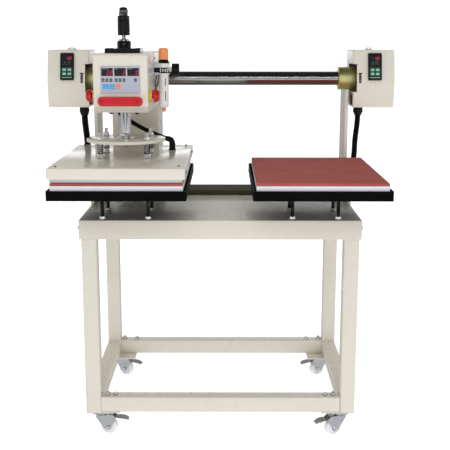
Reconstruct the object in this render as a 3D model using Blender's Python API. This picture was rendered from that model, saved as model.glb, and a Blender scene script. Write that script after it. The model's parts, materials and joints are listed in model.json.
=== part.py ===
"""Double-station pneumatic heat press on a castored stand.

Metres, +Z up, floor at Z = 0.  The front of the machine faces -Y and +X is the
operator's right.  The origin is on the floor under the middle of the whole
machine's outline; the dimensions are laid out from the middle of the table,
which stands DATUM_Y behind it.
The press head is parked over the left-hand platen with the press closed.
"""
import math

import bmesh
import bpy
from mathutils import Matrix, Vector

# ---------------------------------------------------------------- dimensions
GAP = 0.0003                      # assembly clearance between neighbouring pieces
DATUM_Y = 0.110                   # middle of the table from the middle of the outline

# stand
TABLE_W, TABLE_D = 0.926, 0.650
TABLE_Z = 0.760                   # working surface of the table
APRON_H = 0.064
SHEET = 0.002
TUBE = 0.050                      # square tube of the stand
TUBE_WALL = 0.002
LEG_OUT_X = 0.4576                # outer face of the legs
LEG_FRONT_Y = -0.315
LEG_REAR_Y = 0.321
FOOT_Z = 0.0885                   # lower end of the tubes
BEAM_TOP = 0.1415
PLATE_T = 0.004                   # corner plates under the tubes
CORNER_X, CORNER_Y = 0.113, 0.110

# castors
WHEEL_R, WHEEL_W = 0.028, 0.022
TRAIL = 0.025
CASTOR_X, CASTOR_FRONT_Y, CASTOR_REAR_Y = 0.410, -0.285, 0.278
# lead direction of each castor, degrees about +Z from +X towards the wheel
CASTOR_TURN = {"front_left": -4.0, "front_right": 204.0, "rear_left": -22.0, "rear_right": 200.0}
PEDAL_PIVOT = (0.0445, 0.0575)    # from the swivel axis, height over the floor
AXLE_R = 0.004

# gantry
BEAM_Y0, BEAM_Y1, BEAM_T = 0.157, 0.300, 0.018
COLUMN_X, COLUMN_T = 0.450, 0.012
SHAFT_R = 0.025
SHAFT_Y, SHAFT_Z = 0.129, 1.198
SHAFT_END = 0.494
COLLAR_R, COLLAR_X0, COLLAR_X1 = 0.041, 0.426, 0.498
SADDLE_Z = SHAFT_Z - 0.0375       # top of the columns; the collars rest in a hollow of it

# control boxes on the two columns
BOX_X0, BOX_X1 = 0.472, 0.619
BOX_Z0, BOX_Z1 = 1.098, 1.300
BOX_CREASE_Z, BOX_CREASE_Y, BOX_TOP_Y, BOX_LOW_Y, BOX_BACK_Y = 1.186, 0.040, 0.068, 0.047, 0.240
BOX_SHEET = 0.0016
METER_X, METER_Z = 0.5475, 1.241  # centre of the temperature controller
METER_W, METER_H = 0.048, 0.096
NOTCH_X = 0.4845                  # the notch that shows the collar through the front of a box

# platens: 400 x 600 mm working area
STATION_X = 0.311
PLATEN_Y = -0.234
PAD_W, PAD_D = 0.400, 0.600
TRAY_W, TRAY_D, TRAY_Z0, TRAY_Z1 = 0.421, 0.622, 0.8625, 0.8930
LOW_PLATE_Z0, LOW_PLATE_Z1 = 0.8855, 0.9070
PAD_Z0, PAD_Z1 = 0.9073, 0.9165
STUD_PITCH, STUD_R = 0.150, 0.006

# press head
HEAD_X = -STATION_X
HEAD_HALF = 0.0855
HEAD_FRONT_Y, HEAD_SPLIT_Y, HEAD_BACK_Y = -0.360, -0.130, 0.290
HEAD_Z0, HEAD_Z1 = 1.110, 1.2945
ARM_Z0, ARM_T = 1.1125, 0.018
COLUMN_FRONT_Y = 0.0845           # front wall of the carriage's rear column
COLUMN_FOOT_Z = 0.800
ROLLER_R, ROLLER_H = 0.018, 0.012

# press ram
ROD_R, THIN_R, PISTON_R = 0.0168, 0.008, 0.0475
DISC_R, DISC_Z0, DISC_Z1 = 0.129, 1.0095, 1.0195
COVER_W, COVER_D, COVER_Z0, COVER_Z1 = 0.415, 0.622, 0.9280, 0.961
HEATER_Z0, HEATER_Z1 = 0.9170, 0.937
SLEEVE_R, SLEEVE_Z0, SLEEVE_Z1 = 0.0198, 1.3500, 1.4110
TOP_Z = 1.4385

# air preparation unit on the right of the head
REG_X, REG_Y = -0.192, -0.125
VALVE_Z = 1.2385

# emergency stops on both sides of the head
ESTOP_Y, ESTOP_Z = -0.300, 1.1615

# --------------------------------------------------------------- scene reset
for old in list(bpy.data.objects):
    bpy.data.objects.remove(old, do_unlink=True)

scene = bpy.context.scene
PALETTE = {
    "cream": ((0.72, 0.70, 0.62, 1), 0.45, 0.0),
    "black_paint": ((0.012, 0.012, 0.013, 1), 0.45, 0.0),
    "black_plastic": ((0.015, 0.015, 0.016, 1), 0.4, 0.0),
    "hard_chrome": ((0.55, 0.56, 0.58, 1), 0.12, 1.0),
    "dark_steel": ((0.11, 0.11, 0.12, 1), 0.3, 1.0),
    "olive_zinc": ((0.42, 0.42, 0.14, 1), 0.35, 1.0),
    "zinc": ((0.62, 0.63, 0.66, 1), 0.35, 1.0),
    "white_plate": ((0.80, 0.80, 0.84, 1), 0.5, 0.1),
    "aluminium": ((0.74, 0.74, 0.74, 1), 0.4, 1.0),
    "silicone": ((0.36, 0.10, 0.085, 1), 0.7, 0.0),
    "panel": ((0.42, 0.46, 0.58, 1), 0.4, 0.0),
    "red": ((0.62, 0.02, 0.03, 1), 0.3, 0.0),
    "orange": ((0.80, 0.25, 0.05, 1), 0.35, 0.0),
    "white_plastic": ((0.80, 0.80, 0.79, 1), 0.35, 0.0),
    "grey_cast": ((0.55, 0.56, 0.58, 1), 0.45, 0.0),
    "bronze": ((0.45, 0.27, 0.10, 1), 0.4, 1.0),
    "caster_white": ((0.80, 0.80, 0.78, 1), 0.4, 0.0),
}
materials = {}
for key, (colour, rough, metal) in PALETTE.items():
    m = bpy.data.materials.new(key)
    m.use_nodes = True
    bsdf = m.node_tree.nodes["Principled BSDF"]
    bsdf.inputs["Base Color"].default_value = colour
    bsdf.inputs["Roughness"].default_value = rough
    bsdf.inputs["Metallic"].default_value = metal
    materials[key] = m


# ------------------------------------------------------------------- helpers
def raw(verts, faces, name="tmp"):
    me = bpy.data.meshes.new(name)
    me.from_pydata([tuple(v) for v in verts], [], faces)
    bm = bmesh.new()
    bm.from_mesh(me)
    bmesh.ops.remove_doubles(bm, verts=bm.verts, dist=1e-7)
    bmesh.ops.recalc_face_normals(bm, faces=bm.faces)
    bm.to_mesh(me)
    bm.free()
    ob = bpy.data.objects.new(name, me)
    scene.collection.objects.link(ob)
    return ob


def box(x0, x1, y0, y1, z0, z1, r=0.0, seg=2, keep=None):
    """Block; r rounds its edges, keep(edge direction, midpoint) picks which."""
    bm = bmesh.new()
    bmesh.ops.create_cube(bm, size=1.0)
    for v in bm.verts:
        v.co = Vector(((x0 + x1) / 2 + v.co.x * (x1 - x0),
                       (y0 + y1) / 2 + v.co.y * (y1 - y0),
                       (z0 + z1) / 2 + v.co.z * (z1 - z0)))
    if r:
        edges = []
        for e in bm.edges:
            a, b = e.verts
            d = (b.co - a.co).normalized()
            if keep is None or keep(d, (a.co + b.co) / 2):
                edges.append(e)
        bmesh.ops.bevel(bm, geom=edges, offset=r, segments=seg, profile=0.5, affect="EDGES", clamp_overlap=True)
    bmesh.ops.recalc_face_normals(bm, faces=bm.faces)
    me = bpy.data.meshes.new("box")
    bm.to_mesh(me)
    bm.free()
    ob = bpy.data.objects.new("box", me)
    scene.collection.objects.link(ob)
    return ob


def along(axis):
    """Rule that picks the edges running along one axis."""
    i = "xyz".index(axis)
    return lambda d, m: abs(d[i]) > 0.99


def rings(points_of, n_rings, n, caps=True):
    verts, faces = [], []
    for i in range(n_rings):
        for j in range(n):
            verts.append(points_of(i, j))
    for i in range(n_rings - 1):
        for j in range(n):
            k = (j + 1) % n
            faces.append((i * n + j, i * n + k, (i + 1) * n + k, (i + 1) * n + j))
    if caps:
        faces.append(tuple(range(n - 1, -1, -1)))
        faces.append(tuple((n_rings - 1) * n + j for j in range(n)))
    return verts, faces


def sides(n):
    """Facets round a turned piece: fine discs and hexagons keep their count."""
    return n if n <= 8 or n >= 60 else max(12, int(n * 0.25) * 2)


AXES = {
    "z": (Vector((1, 0, 0)), Vector((0, 1, 0)), Vector((0, 0, 1))),
    "x": (Vector((0, 1, 0)), Vector((0, 0, 1)), Vector((1, 0, 0))),
    "y": (Vector((0, 0, 1)), Vector((1, 0, 0)), Vector((0, 1, 0))),
}


def turned(profile, centre=(0, 0, 0), axis="z", n=32, closed=False, phase=0.5):
    """Body of revolution. profile: (radius, height) pairs. A closed profile
    goes round a ring section, an open one is capped at both ends."""
    u, v, w = AXES[axis]
    c = Vector(centre)
    n = sides(n)

    def at(i, j):
        r, h = profile[i % len(profile)]
        a = 2 * math.pi * (j + phase) / n
        return c + u * (r * math.cos(a)) + v * (r * math.sin(a)) + w * h

    if closed:
        m = len(profile)
        verts = [at(i, j) for i in range(m) for j in range(n)]
        faces = []
        for i in range(m):
            for j in range(n):
                k = (j + 1) % n
                i2 = (i + 1) % m
                faces.append((i * n + j, i * n + k, i2 * n + k, i2 * n + j))
        return raw(verts, faces)
    verts, faces = rings(at, len(profile), n)
    return raw(verts, faces)


def rod(r, h0, h1, centre=(0, 0, 0), axis="z", n=24, c=0.0):
    p = [(r, h0), (r, h1)] if not c else [(r - c, h0), (r, h0 + c), (r, h1 - c), (r - c, h1)]
    return turned(p, centre, axis, n)


def ring(r_in, r_out, h0, h1, centre=(0, 0, 0), axis="z", n=24, c=0.0):
    if c:
        p = [(r_in, h0), (r_out - c, h0), (r_out, h0 + c), (r_out, h1 - c), (r_out - c, h1), (r_in, h1)]
    else:
        p = [(r_in, h0), (r_out, h0), (r_out, h1), (r_in, h1)]
    return turned(p, centre, axis, n, closed=True)


def prism(points, axis, lo, hi):
    """Polygon extruded along an axis. Points are (y, z) for x, (x, z) for y, (x, y) for z."""
    n = len(points)
    verts, faces = [], []
    for h in (lo, hi):
        for p in points:
            if axis == "x":
                verts.append((h, p[0], p[1]))
            elif axis == "y":
                verts.append((p[0], h, p[1]))
            else:
                verts.append((p[0], p[1], h))
    faces.append(tuple(range(n)))
    faces.append(tuple(range(2 * n - 1, n - 1, -1)))
    for i in range(n):
        k = (i + 1) % n
        faces.append((i, k, n + k, n + i))
    return raw(verts, faces)


def arc(cx, cy, r, a0, a1, n):
    return [(cx + r * math.cos(math.radians(a0 + (a1 - a0) * i / n)),
             cy + r * math.sin(math.radians(a0 + (a1 - a0) * i / n))) for i in range(n + 1)]


def round_rect(x0, x1, y0, y1, r, n=4):
    return (arc(x1 - r, y1 - r, r, 0, 90, n) + arc(x0 + r, y1 - r, r, 90, 180, n)
            + arc(x0 + r, y0 + r, r, 180, 270, n) + arc(x1 - r, y0 + r, r, 270, 360, n))


def swept(path, radius, n=14):
    """Round cable along a path, with its section carried along without twist."""
    pts = [Vector(p) for p in path]
    m = len(pts)
    tang = []
    for i in range(m):
        a, b = pts[max(i - 1, 0)], pts[min(i + 1, m - 1)]
        tang.append((b - a).normalized())
    side = tang[0].orthogonal().normalized()
    frames = []
    for i in range(m):
        side = (side - tang[i] * side.dot(tang[i])).normalized()
        frames.append((side.copy(), tang[i].cross(side)))
    radii = radius if isinstance(radius, (list, tuple)) else [radius] * m

    def at(i, j):
        a = 2 * math.pi * j / n
        s, t = frames[i]
        return pts[i] + (s * math.cos(a) + t * math.sin(a)) * radii[i]

    verts, faces = rings(at, m, n)
    return raw(verts, faces)


def bezier(p0, p1, p2, p3, n):
    p0, p1, p2, p3 = (Vector(p) for p in (p0, p1, p2, p3))
    out = []
    for i in range(n + 1):
        t = i / n
        out.append(p0 * (1 - t) ** 3 + p1 * (3 * t * (1 - t) ** 2) + p2 * (3 * t * t * (1 - t)) + p3 * t ** 3)
    return out


def bake(ob):
    bpy.context.view_layer.update()
    dg = bpy.context.evaluated_depsgraph_get()
    me = bpy.data.meshes.new_from_object(ob.evaluated_get(dg))
    old = ob.data
    ob.modifiers.clear()
    ob.data = me
    bpy.data.meshes.remove(old)


def boolean(a, b, how):
    m = a.modifiers.new("step", "BOOLEAN")
    m.operation = how
    m.solver = "EXACT"
    m.object = b
    bake(a)
    bpy.data.objects.remove(b, do_unlink=True)
    return a


def cut(a, *tools):
    for t in tools:
        boolean(a, t, "DIFFERENCE")
    return a


def add(a, *more):
    for t in more:
        boolean(a, t, "UNION")
    return a


def turn(ob, angle_deg, axis="Z", about=(0, 0, 0)):
    rot = Matrix.Translation(Vector(about)) @ Matrix.Rotation(math.radians(angle_deg), 4, axis) @ Matrix.Translation(-Vector(about))
    ob.data.transform(rot)
    return ob


def shift(ob, d):
    ob.data.transform(Matrix.Translation(Vector(d)))
    return ob


def mirrored(ob):
    """The same shape on the other side of the machine's middle plane."""
    me = ob.data.copy()
    me.transform(Matrix.Scale(-1, 4, Vector((1, 0, 0))))
    me.flip_normals()
    new = bpy.data.objects.new("mirror", me)
    scene.collection.objects.link(new)
    return new


def finish(ob, name, material, origin=(0, 0, 0), smooth=True):
    me = ob.data
    bm = bmesh.new()
    bm.from_mesh(me)
    bmesh.ops.remove_doubles(bm, verts=bm.verts, dist=2e-6)
    bmesh.ops.dissolve_degenerate(bm, edges=bm.edges, dist=2e-6)
    bm.to_mesh(me)
    bm.free()
    me.transform(Matrix.Translation(-Vector(origin)))
    ob.location = Vector(origin) + Vector((0, DATUM_Y, 0))
    ob.name = name
    me.name = name
    me.materials.clear()
    me.materials.append(materials[material])
    if smooth:
        me.shade_smooth()
        me.set_sharp_from_angle(angle=math.radians(32))
    return ob


def hexagon(af, h0, h1, centre, axis="z"):
    return turned([(af / math.sqrt(3), h0), (af / math.sqrt(3), h1)], centre, axis, 6)


# --------------------------------------------------------------------- stand
top = box(-TABLE_W / 2, TABLE_W / 2, -TABLE_D / 2, TABLE_D / 2, TABLE_Z - APRON_H, TABLE_Z, 0.003, 2,
          lambda d, m: abs(d.z) > 0.9 or m.z > TABLE_Z - 0.001)
cut(top, box(-TABLE_W / 2 + SHEET, TABLE_W / 2 - SHEET, -TABLE_D / 2 + SHEET, TABLE_D / 2 - SHEET,
             TABLE_Z - APRON_H - 0.01, TABLE_Z - SHEET))
finish(top, "table_top", "cream")

LEG_TOP = TABLE_Z - SHEET - GAP
leg_in_x = LEG_OUT_X - TUBE
end = box(leg_in_x, LEG_OUT_X, LEG_FRONT_Y, LEG_FRONT_Y + TUBE, FOOT_Z, LEG_TOP, 0.003, 2, along("z"))
add(end,
    box(leg_in_x, LEG_OUT_X, LEG_REAR_Y - TUBE, LEG_REAR_Y, FOOT_Z, LEG_TOP, 0.003, 2, along("z")),
    box(leg_in_x + 0.0002, LEG_OUT_X - 0.0002, LEG_FRONT_Y + 0.02, LEG_REAR_Y - 0.02, FOOT_Z + 0.0003, BEAM_TOP, 0.003, 2, along("y")),
    box(leg_in_x + 0.0002, LEG_OUT_X - 0.0002, LEG_FRONT_Y + 0.02, LEG_REAR_Y - 0.02, LEG_TOP - 0.05, LEG_TOP - 0.0004),
    box(LEG_OUT_X - CORNER_X, LEG_OUT_X - 0.0001, LEG_FRONT_Y + 0.0001, LEG_FRONT_Y + CORNER_Y, FOOT_Z - PLATE_T, FOOT_Z + 0.0001),
    box(LEG_OUT_X - CORNER_X, LEG_OUT_X - 0.0001, LEG_REAR_Y - CORNER_Y, LEG_REAR_Y - 0.0001, FOOT_Z - PLATE_T, FOOT_Z + 0.0001))
w = TUBE_WALL
cut(end,
    box(leg_in_x + w, LEG_OUT_X - w, LEG_FRONT_Y + w, LEG_FRONT_Y + TUBE - w, FOOT_Z + w, LEG_TOP + 0.02),
    box(leg_in_x + w, LEG_OUT_X - w, LEG_REAR_Y - TUBE + w, LEG_REAR_Y - w, FOOT_Z + w, LEG_TOP + 0.02),
    box(leg_in_x + w + 0.0003, LEG_OUT_X - w - 0.0003, LEG_FRONT_Y + 0.03, LEG_REAR_Y - 0.03, FOOT_Z + w + 0.0005, BEAM_TOP - w),
    box(leg_in_x + w + 0.0003, LEG_OUT_X - w - 0.0003, LEG_FRONT_Y + 0.03, LEG_REAR_Y - 0.03, LEG_TOP - 0.048, LEG_TOP - 0.0025))
finish(mirrored(end), "end_frame_left", "cream")
finish(end, "end_frame_right", "cream")

for tag, y0 in (("front", LEG_FRONT_Y + 0.0002), ("rear", LEG_REAR_Y - TUBE + 0.0002)):
    half = leg_in_x - GAP
    beam = box(-half, half, y0, y0 + TUBE - 0.0004, FOOT_Z + GAP, BEAM_TOP, 0.003, 2, along("x"))
    cut(beam, box(-half - 0.01, half + 0.01, y0 + w, y0 + TUBE - 0.0004 - w, FOOT_Z + GAP + w, BEAM_TOP - w))
    finish(beam, "lower_beam_" + tag, "cream")

# ------------------------------------------------------------------- castors
CAP_Z1 = FOOT_Z - PLATE_T - GAP          # top of the castor's mounting plate
CAP_Z0 = CAP_Z1 - 0.0025


def castor(tag, sx, y):
    cx = sx * CASTOR_X
    a = CASTOR_TURN[tag]
    at = (cx, y, 0)
    plate = box(cx - 0.031, cx + 0.031, y - 0.029, y + 0.031, CAP_Z0, CAP_Z1, 0.006, 3, along("z"))
    cup = turned([(0.0215, 0.0735), (0.0235, 0.0755), (0.0235, 0.0795), (0.020, CAP_Z0 + 0.001)], at, "z", 28)
    pin = turned([(0.0075, 0.0640), (0.0075, 0.0668), (0.005, 0.0668), (0.005, 0.0745)], at, "z", 20)
    add(plate, cup, pin)
    finish(plate, "caster_plate_" + tag, "zinc")

    crown = ring(0.0056, 0.0225, 0.0695, 0.0725, (0, 0, 0), "z", 28)
    outline = ([(-0.0150, 0.0710), (-0.0185, 0.0640)] + [(0.0125, 0.0215)] + arc(TRAIL, WHEEL_R, 0.0105, 235, 360, 3)
               + [(0.0500, 0.0540), (0.0500, 0.0620), (0.0400, 0.0710)])
    for s in (1, -1):
        cheek = prism(outline, "y", s * 0.0142, s * 0.0166)
        add(crown, cheek)
    add(crown,
        rod(AXLE_R, -0.0170, 0.0170, (TRAIL, 0, WHEEL_R), "y", 12),
        hexagon(0.011, -0.0215, -0.0160, (TRAIL, 0, WHEEL_R), "y"),
        hexagon(0.011, 0.0160, 0.0215, (TRAIL, 0, WHEEL_R), "y"),
        rod(0.0021, -0.0175, 0.0175, (PEDAL_PIVOT[0], 0, PEDAL_PIVOT[1]), "y", 12))
    turn(crown, a)
    shift(crown, at)
    finish(crown, "caster_fork_" + tag, "zinc", at)

    wheel = turned([(AXLE_R + 0.0006, -WHEEL_W / 2), (0.0105, -WHEEL_W / 2), (0.0120, -WHEEL_W / 2 + 0.003),
                    (0.0215, -WHEEL_W / 2 + 0.0012), (WHEEL_R - 0.002, -WHEEL_W / 2 + 0.0008), (WHEEL_R, -WHEEL_W / 2 + 0.005),
                    (WHEEL_R, WHEEL_W / 2 - 0.005), (WHEEL_R - 0.002, WHEEL_W / 2 - 0.0008), (0.0215, WHEEL_W / 2 - 0.0012),
                    (0.0120, WHEEL_W / 2 - 0.003), (0.0105, WHEEL_W / 2), (AXLE_R + 0.0006, WHEEL_W / 2)],
                   (TRAIL, 0, WHEEL_R), "y", 36, closed=True)
    turn(wheel, a)
    shift(wheel, at)
    ca, sa = math.cos(math.radians(a)), math.sin(math.radians(a))
    hub = (cx + TRAIL * ca, y + TRAIL * sa, WHEEL_R)
    finish(wheel, "caster_wheel_" + tag, "caster_white", hub)

    px, pz = PEDAL_PIVOT
    pedal = ring(0.0027, 0.0044, -0.0125, 0.0125, (px, 0, pz), "y", 16)
    tongue = prism([(px + 0.0025, pz + 0.0015), (px + 0.0025, pz + 0.0038), (0.0560, pz + 0.0062),
                    (0.0905, pz + 0.0010), (0.0935, pz - 0.0040), (0.0915, pz - 0.0048), (0.0890, pz - 0.0015), (0.0560, pz + 0.0035)],
                   "y", -0.0120, 0.0120)
    foot = box(0.0550, 0.0840, -0.0160, 0.0160, pz - 0.0010, pz + 0.0040)
    cut(foot, prism([(0.040, pz - 0.02), (0.040, pz + 0.0034), (0.0560, pz + 0.0034), (0.0905, pz - 0.0018), (0.10, pz - 0.02)], "y", -0.02, 0.02))
    cut(foot, prism([(0.040, pz + 0.02), (0.040, pz + 0.0060), (0.0560, pz + 0.0060), (0.0905, pz + 0.0008), (0.10, pz + 0.02)], "y", -0.02, 0.02))
    add(pedal, tongue, foot)
    turn(pedal, a)
    shift(pedal, at)
    finish(pedal, "caster_brake_" + tag, "dark_steel", (cx + px * ca, y + px * sa, pz))


castor("front_left", -1, CASTOR_FRONT_Y)
castor("front_right", 1, CASTOR_FRONT_Y)
castor("rear_left", -1, CASTOR_REAR_Y)
castor("rear_right", 1, CASTOR_REAR_Y)

# -------------------------------------------------------------------- gantry
finish(box(-COLUMN_X + GAP, COLUMN_X - GAP, BEAM_Y0, BEAM_Y1, TABLE_Z + GAP, TABLE_Z + GAP + BEAM_T, 0.0015, 1, along("x")),
       "guide_beam", "olive_zinc")

z0 = TABLE_Z + GAP
half_w, rear_w = 0.0405, 0.098    # from the shaft to the front and rear edges of a column
outline = ([(-0.050, z0), (-0.050, z0 + 0.012)] + arc(-0.034, z0 + 0.0125, 0.016, 180, 90, 4)
           + arc(SHAFT_Y - half_w - 0.030, z0 + 0.0585, 0.030, 270, 360, 5)
           + [(SHAFT_Y - half_w, SADDLE_Z), (SHAFT_Y + rear_w - 0.006, SADDLE_Z), (SHAFT_Y + rear_w, SADDLE_Z - 0.006)]
           + arc(SHAFT_Y + rear_w + 0.030, z0 + 0.0585, 0.030, 180, 270, 5)
           + arc(0.284, z0 + 0.0125, 0.016, 90, 0, 4) + [(0.300, z0)])
plate = prism(outline, "x", COLUMN_X, COLUMN_X + COLUMN_T)
cut(plate, rod(COLLAR_R + 0.0006, COLUMN_X - 0.01, COLUMN_X + COLUMN_T + 0.01, (0, SHAFT_Y, SHAFT_Z), "x", 40))
finish(mirrored(plate), "column_left", "cream")
finish(plate, "column_right", "cream")

finish(rod(SHAFT_R, -SHAFT_END, SHAFT_END, (0, SHAFT_Y, SHAFT_Z), "x", 48, 0.0015), "slide_shaft", "dark_steel")

r_in = SHAFT_R + 0.0005
collar = turned([(r_in, COLLAR_X0), (COLLAR_R - 0.0012, COLLAR_X0), (COLLAR_R, COLLAR_X0 + 0.0012),
                 (COLLAR_R, COLLAR_X1 - 0.0012), (COLLAR_R - 0.0012, COLLAR_X1), (r_in, COLLAR_X1)],
                (0, SHAFT_Y, SHAFT_Z), "x", 40, closed=True)
finish(mirrored(collar), "shaft_collar_left", "olive_zinc")
finish(collar, "shaft_collar_right", "olive_zinc")

# ------------------------------------------------------------- control boxes
SLOPE = math.degrees(math.atan2(BOX_TOP_Y - BOX_CREASE_Y, BOX_Z1 - BOX_CREASE_Z))


def box_outline(d):
    """Side outline of a control box, inset by d."""
    return ([(BOX_LOW_Y + d, BOX_Z0 + d), (BOX_CREASE_Y + d * 1.02, BOX_CREASE_Z), (BOX_TOP_Y + d * 1.1, BOX_Z1 - d),
             (BOX_BACK_Y - d, BOX_Z1 - d), (BOX_BACK_Y - d, BOX_Z0 + d)])


meter_y = BOX_CREASE_Y + (METER_Z - BOX_CREASE_Z) * math.tan(math.radians(SLOPE))
meter_at = (METER_X, meter_y, METER_Z)
shell = prism(box_outline(0.0), "x", BOX_X0, BOX_X1)
bm = bmesh.new()
bm.from_mesh(shell.data)
bmesh.ops.bevel(bm, geom=list(bm.edges), offset=0.0035, segments=2, profile=0.5, affect="EDGES", clamp_overlap=True)
bm.to_mesh(shell.data)
bm.free()
cut(shell, prism(box_outline(BOX_SHEET), "x", BOX_X0 + BOX_SHEET, BOX_X1 - BOX_SHEET))
add(shell, box(COLUMN_X + COLUMN_T + GAP, BOX_X0 + 0.0012, 0.142, 0.166, 1.112, 1.146))
cutout = turn(box(METER_X - 0.0228, METER_X + 0.0228, meter_y - 0.02, meter_y + 0.02, METER_Z - 0.0463, METER_Z + 0.0463), -SLOPE, "X", meter_at)
cut(shell,
    box(BOX_X0 - 0.004, NOTCH_X, 0.020, 0.080, SHAFT_Z - 0.0445, SHAFT_Z + 0.0530),
    box(BOX_X0 - 0.004, BOX_X0 + 0.0040, 0.020, 0.180, SHAFT_Z - 0.0445, SHAFT_Z + 0.0530),
    box(BOX_X0 - 0.004, BOX_X0 + 0.0035, 0.058, 0.128, BOX_Z0 + 0.008, SHAFT_Z - 0.056),
    cutout,
    rod(0.0125, BOX_Z0 - 0.01, BOX_Z0 + 0.01, (0.4985, 0.100, 0), "z", 20),
    prism([(p[0], p[1]) for p in round_rect(0.4915, 0.5005, 1.184, 1.2175, 0.0044, 4)], "y", 0.02, 0.062))
finish(mirrored(shell), "control_box_left", "cream")
finish(shell, "control_box_right", "cream")

mx, my, mz = meter_at
bezel = box(mx - METER_W / 2, mx + METER_W / 2, my - 0.0100, my - 0.0004, mz - METER_H / 2, mz + METER_H / 2, 0.002, 2,
            lambda d, m: abs(d.y) > 0.9 or m.y < my - 0.009)
add(bezel, box(mx - 0.0222, mx + 0.0222, my - 0.0020, my + 0.062, mz - 0.0456, mz + 0.0456))
turn(bezel, -SLOPE, "X", meter_at)
finish(mirrored(bezel), "temperature_controller_left", "black_plastic", (-mx, my, mz))
finish(bezel, "temperature_controller_right", "black_plastic", meter_at)

# cable gland and flexible hose from each control box to its platen
tray_back = PLATEN_Y + TRAY_D / 2
gx, gy = 0.4985, 0.100
hz = (TRAY_Z0 + TRAY_Z1) / 2 + 0.0010
path = (bezier((gx, gy, BOX_Z0 - 0.024), (gx, gy, 1.02), (0.490, 0.096, 1.00), (0.490, 0.098, 0.945), 4)
        + bezier((0.490, 0.098, 0.945), (0.490, 0.100, 0.905), (0.485, 0.120, hz), (0.485, tray_back + 0.0100, hz), 4)[1:]
        + [(0.485, tray_back + 0.0006, hz)])
for tag, hose_r in (("left", 0.0122), ("right", 0.0106)):
    gland = turned([(0.0120, BOX_Z0 + 0.012), (0.0120, BOX_Z0 - GAP), (0.0178, BOX_Z0 - GAP), (0.0178, BOX_Z0 - 0.020),
                    (0.0155, BOX_Z0 - 0.023), (0.0145, BOX_Z0 - 0.030)], (gx, gy, 0), "z", 24)
    add(gland, swept(path, hose_r, 12))
    if tag == "left":
        other = mirrored(gland)
        bpy.data.objects.remove(gland, do_unlink=True)
        gland = other
    finish(gland, "platen_hose_" + tag, "black_plastic")

# ------------------------------------------------------------- lower platens
for tag, sx in (("left", -1), ("right", 1)):
    cx = sx * STATION_X
    y0, y1 = PLATEN_Y - TRAY_D / 2, PLATEN_Y + TRAY_D / 2
    tray = box(cx - TRAY_W / 2, cx + TRAY_W / 2, y0, y1, TRAY_Z0, TRAY_Z1, 0.0025, 2, lambda d, m: abs(d.z) > 0.9)
    cut(tray, box(cx - TRAY_W / 2 + 0.003, cx + TRAY_W / 2 - 0.003, y0 + 0.003, y1 - 0.003, TRAY_Z0 + 0.003, TRAY_Z1 + 0.01))
    add(tray, box(cx - 0.150, cx + 0.150, PLATEN_Y - 0.215, PLATEN_Y + 0.215, TRAY_Z0 + 0.002, LOW_PLATE_Z0 - GAP))
    finish(tray, "platen_tray_" + tag, "black_paint")
    finish(box(cx - PAD_W / 2, cx + PAD_W / 2, PLATEN_Y - PAD_D / 2, PLATEN_Y + PAD_D / 2, LOW_PLATE_Z0, LOW_PLATE_Z1, 0.0015, 2),
           "lower_heat_plate_" + tag, "white_plate")
    finish(box(cx - PAD_W / 2 + 0.0005, cx + PAD_W / 2 - 0.0005, PLATEN_Y - PAD_D / 2 + 0.0005, PLATEN_Y + PAD_D / 2 - 0.0005,
               PAD_Z0, PAD_Z1, 0.002, 2), "silicone_pad_" + tag, "silicone")
    stand = box(cx - 0.097, cx + 0.097, PLATEN_Y - 0.097, PLATEN_Y + 0.097, TRAY_Z0 - GAP - 0.006, TRAY_Z0 - GAP, 0.004, 2, along("z"))
    for ix in (-1, 1):
        for iy in (-1, 1):
            c = (cx + ix * STUD_PITCH / 2, PLATEN_Y + iy * STUD_PITCH / 2, 0)
            add(stand, turned([(0.0105, TABLE_Z + GAP), (0.0105, TABLE_Z + GAP + 0.0018), (STUD_R, TABLE_Z + GAP + 0.0018),
                               (STUD_R, TRAY_Z0 - GAP - 0.003)], c, "z", 16),
                hexagon(0.0170, TABLE_Z + 0.0018, TABLE_Z + 0.0125, c))
    finish(stand, "platen_stand_" + tag, "black_paint")

# ------------------------------------------------------------ sliding head
hx = HEAD_X
X0, X1 = hx - HEAD_HALF, hx + HEAD_HALF
front_outline = ([(HEAD_SPLIT_Y, HEAD_Z0), (-0.332, HEAD_Z0), (HEAD_FRONT_Y, HEAD_Z0 + 0.021)]
                 + arc(HEAD_FRONT_Y + 0.012, HEAD_Z1 - 0.012, 0.012, 180, 90, 4) + [(HEAD_SPLIT_Y, HEAD_Z1)])
cover = prism(front_outline, "x", X0, X1)
bm = bmesh.new()
bm.from_mesh(cover.data)
picked = [e for e in bm.edges if all(abs(v.co.x - X0) < 1e-6 for v in e.verts) or all(abs(v.co.x - X1) < 1e-6 for v in e.verts)]
picked = [e for e in picked if not all(abs(v.co.y - HEAD_SPLIT_Y) < 1e-6 for v in e.verts)]
bmesh.ops.bevel(bm, geom=picked, offset=0.004, segments=2, profile=0.5, affect="EDGES", clamp_overlap=True)
bm.to_mesh(cover.data)
bm.free()
inner = ([(HEAD_SPLIT_Y + 0.02, HEAD_Z0 - 0.02), (-0.331 + SHEET, HEAD_Z0 - 0.02), (-0.331 + SHEET, HEAD_Z0), (HEAD_FRONT_Y + SHEET, HEAD_Z0 + 0.0215)]
         + arc(HEAD_FRONT_Y + 0.012, HEAD_Z1 - 0.012, 0.012 - SHEET, 180, 90, 4) + [(HEAD_SPLIT_Y + 0.02, HEAD_Z1 - SHEET)])
cut(cover, prism(inner, "x", X0 + SHEET, X1 - SHEET),
    rod(0.0500, HEAD_Z1 - 0.01, HEAD_Z1 + 0.01, (hx, PLATEN_Y, 0), "z", 40))
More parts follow.
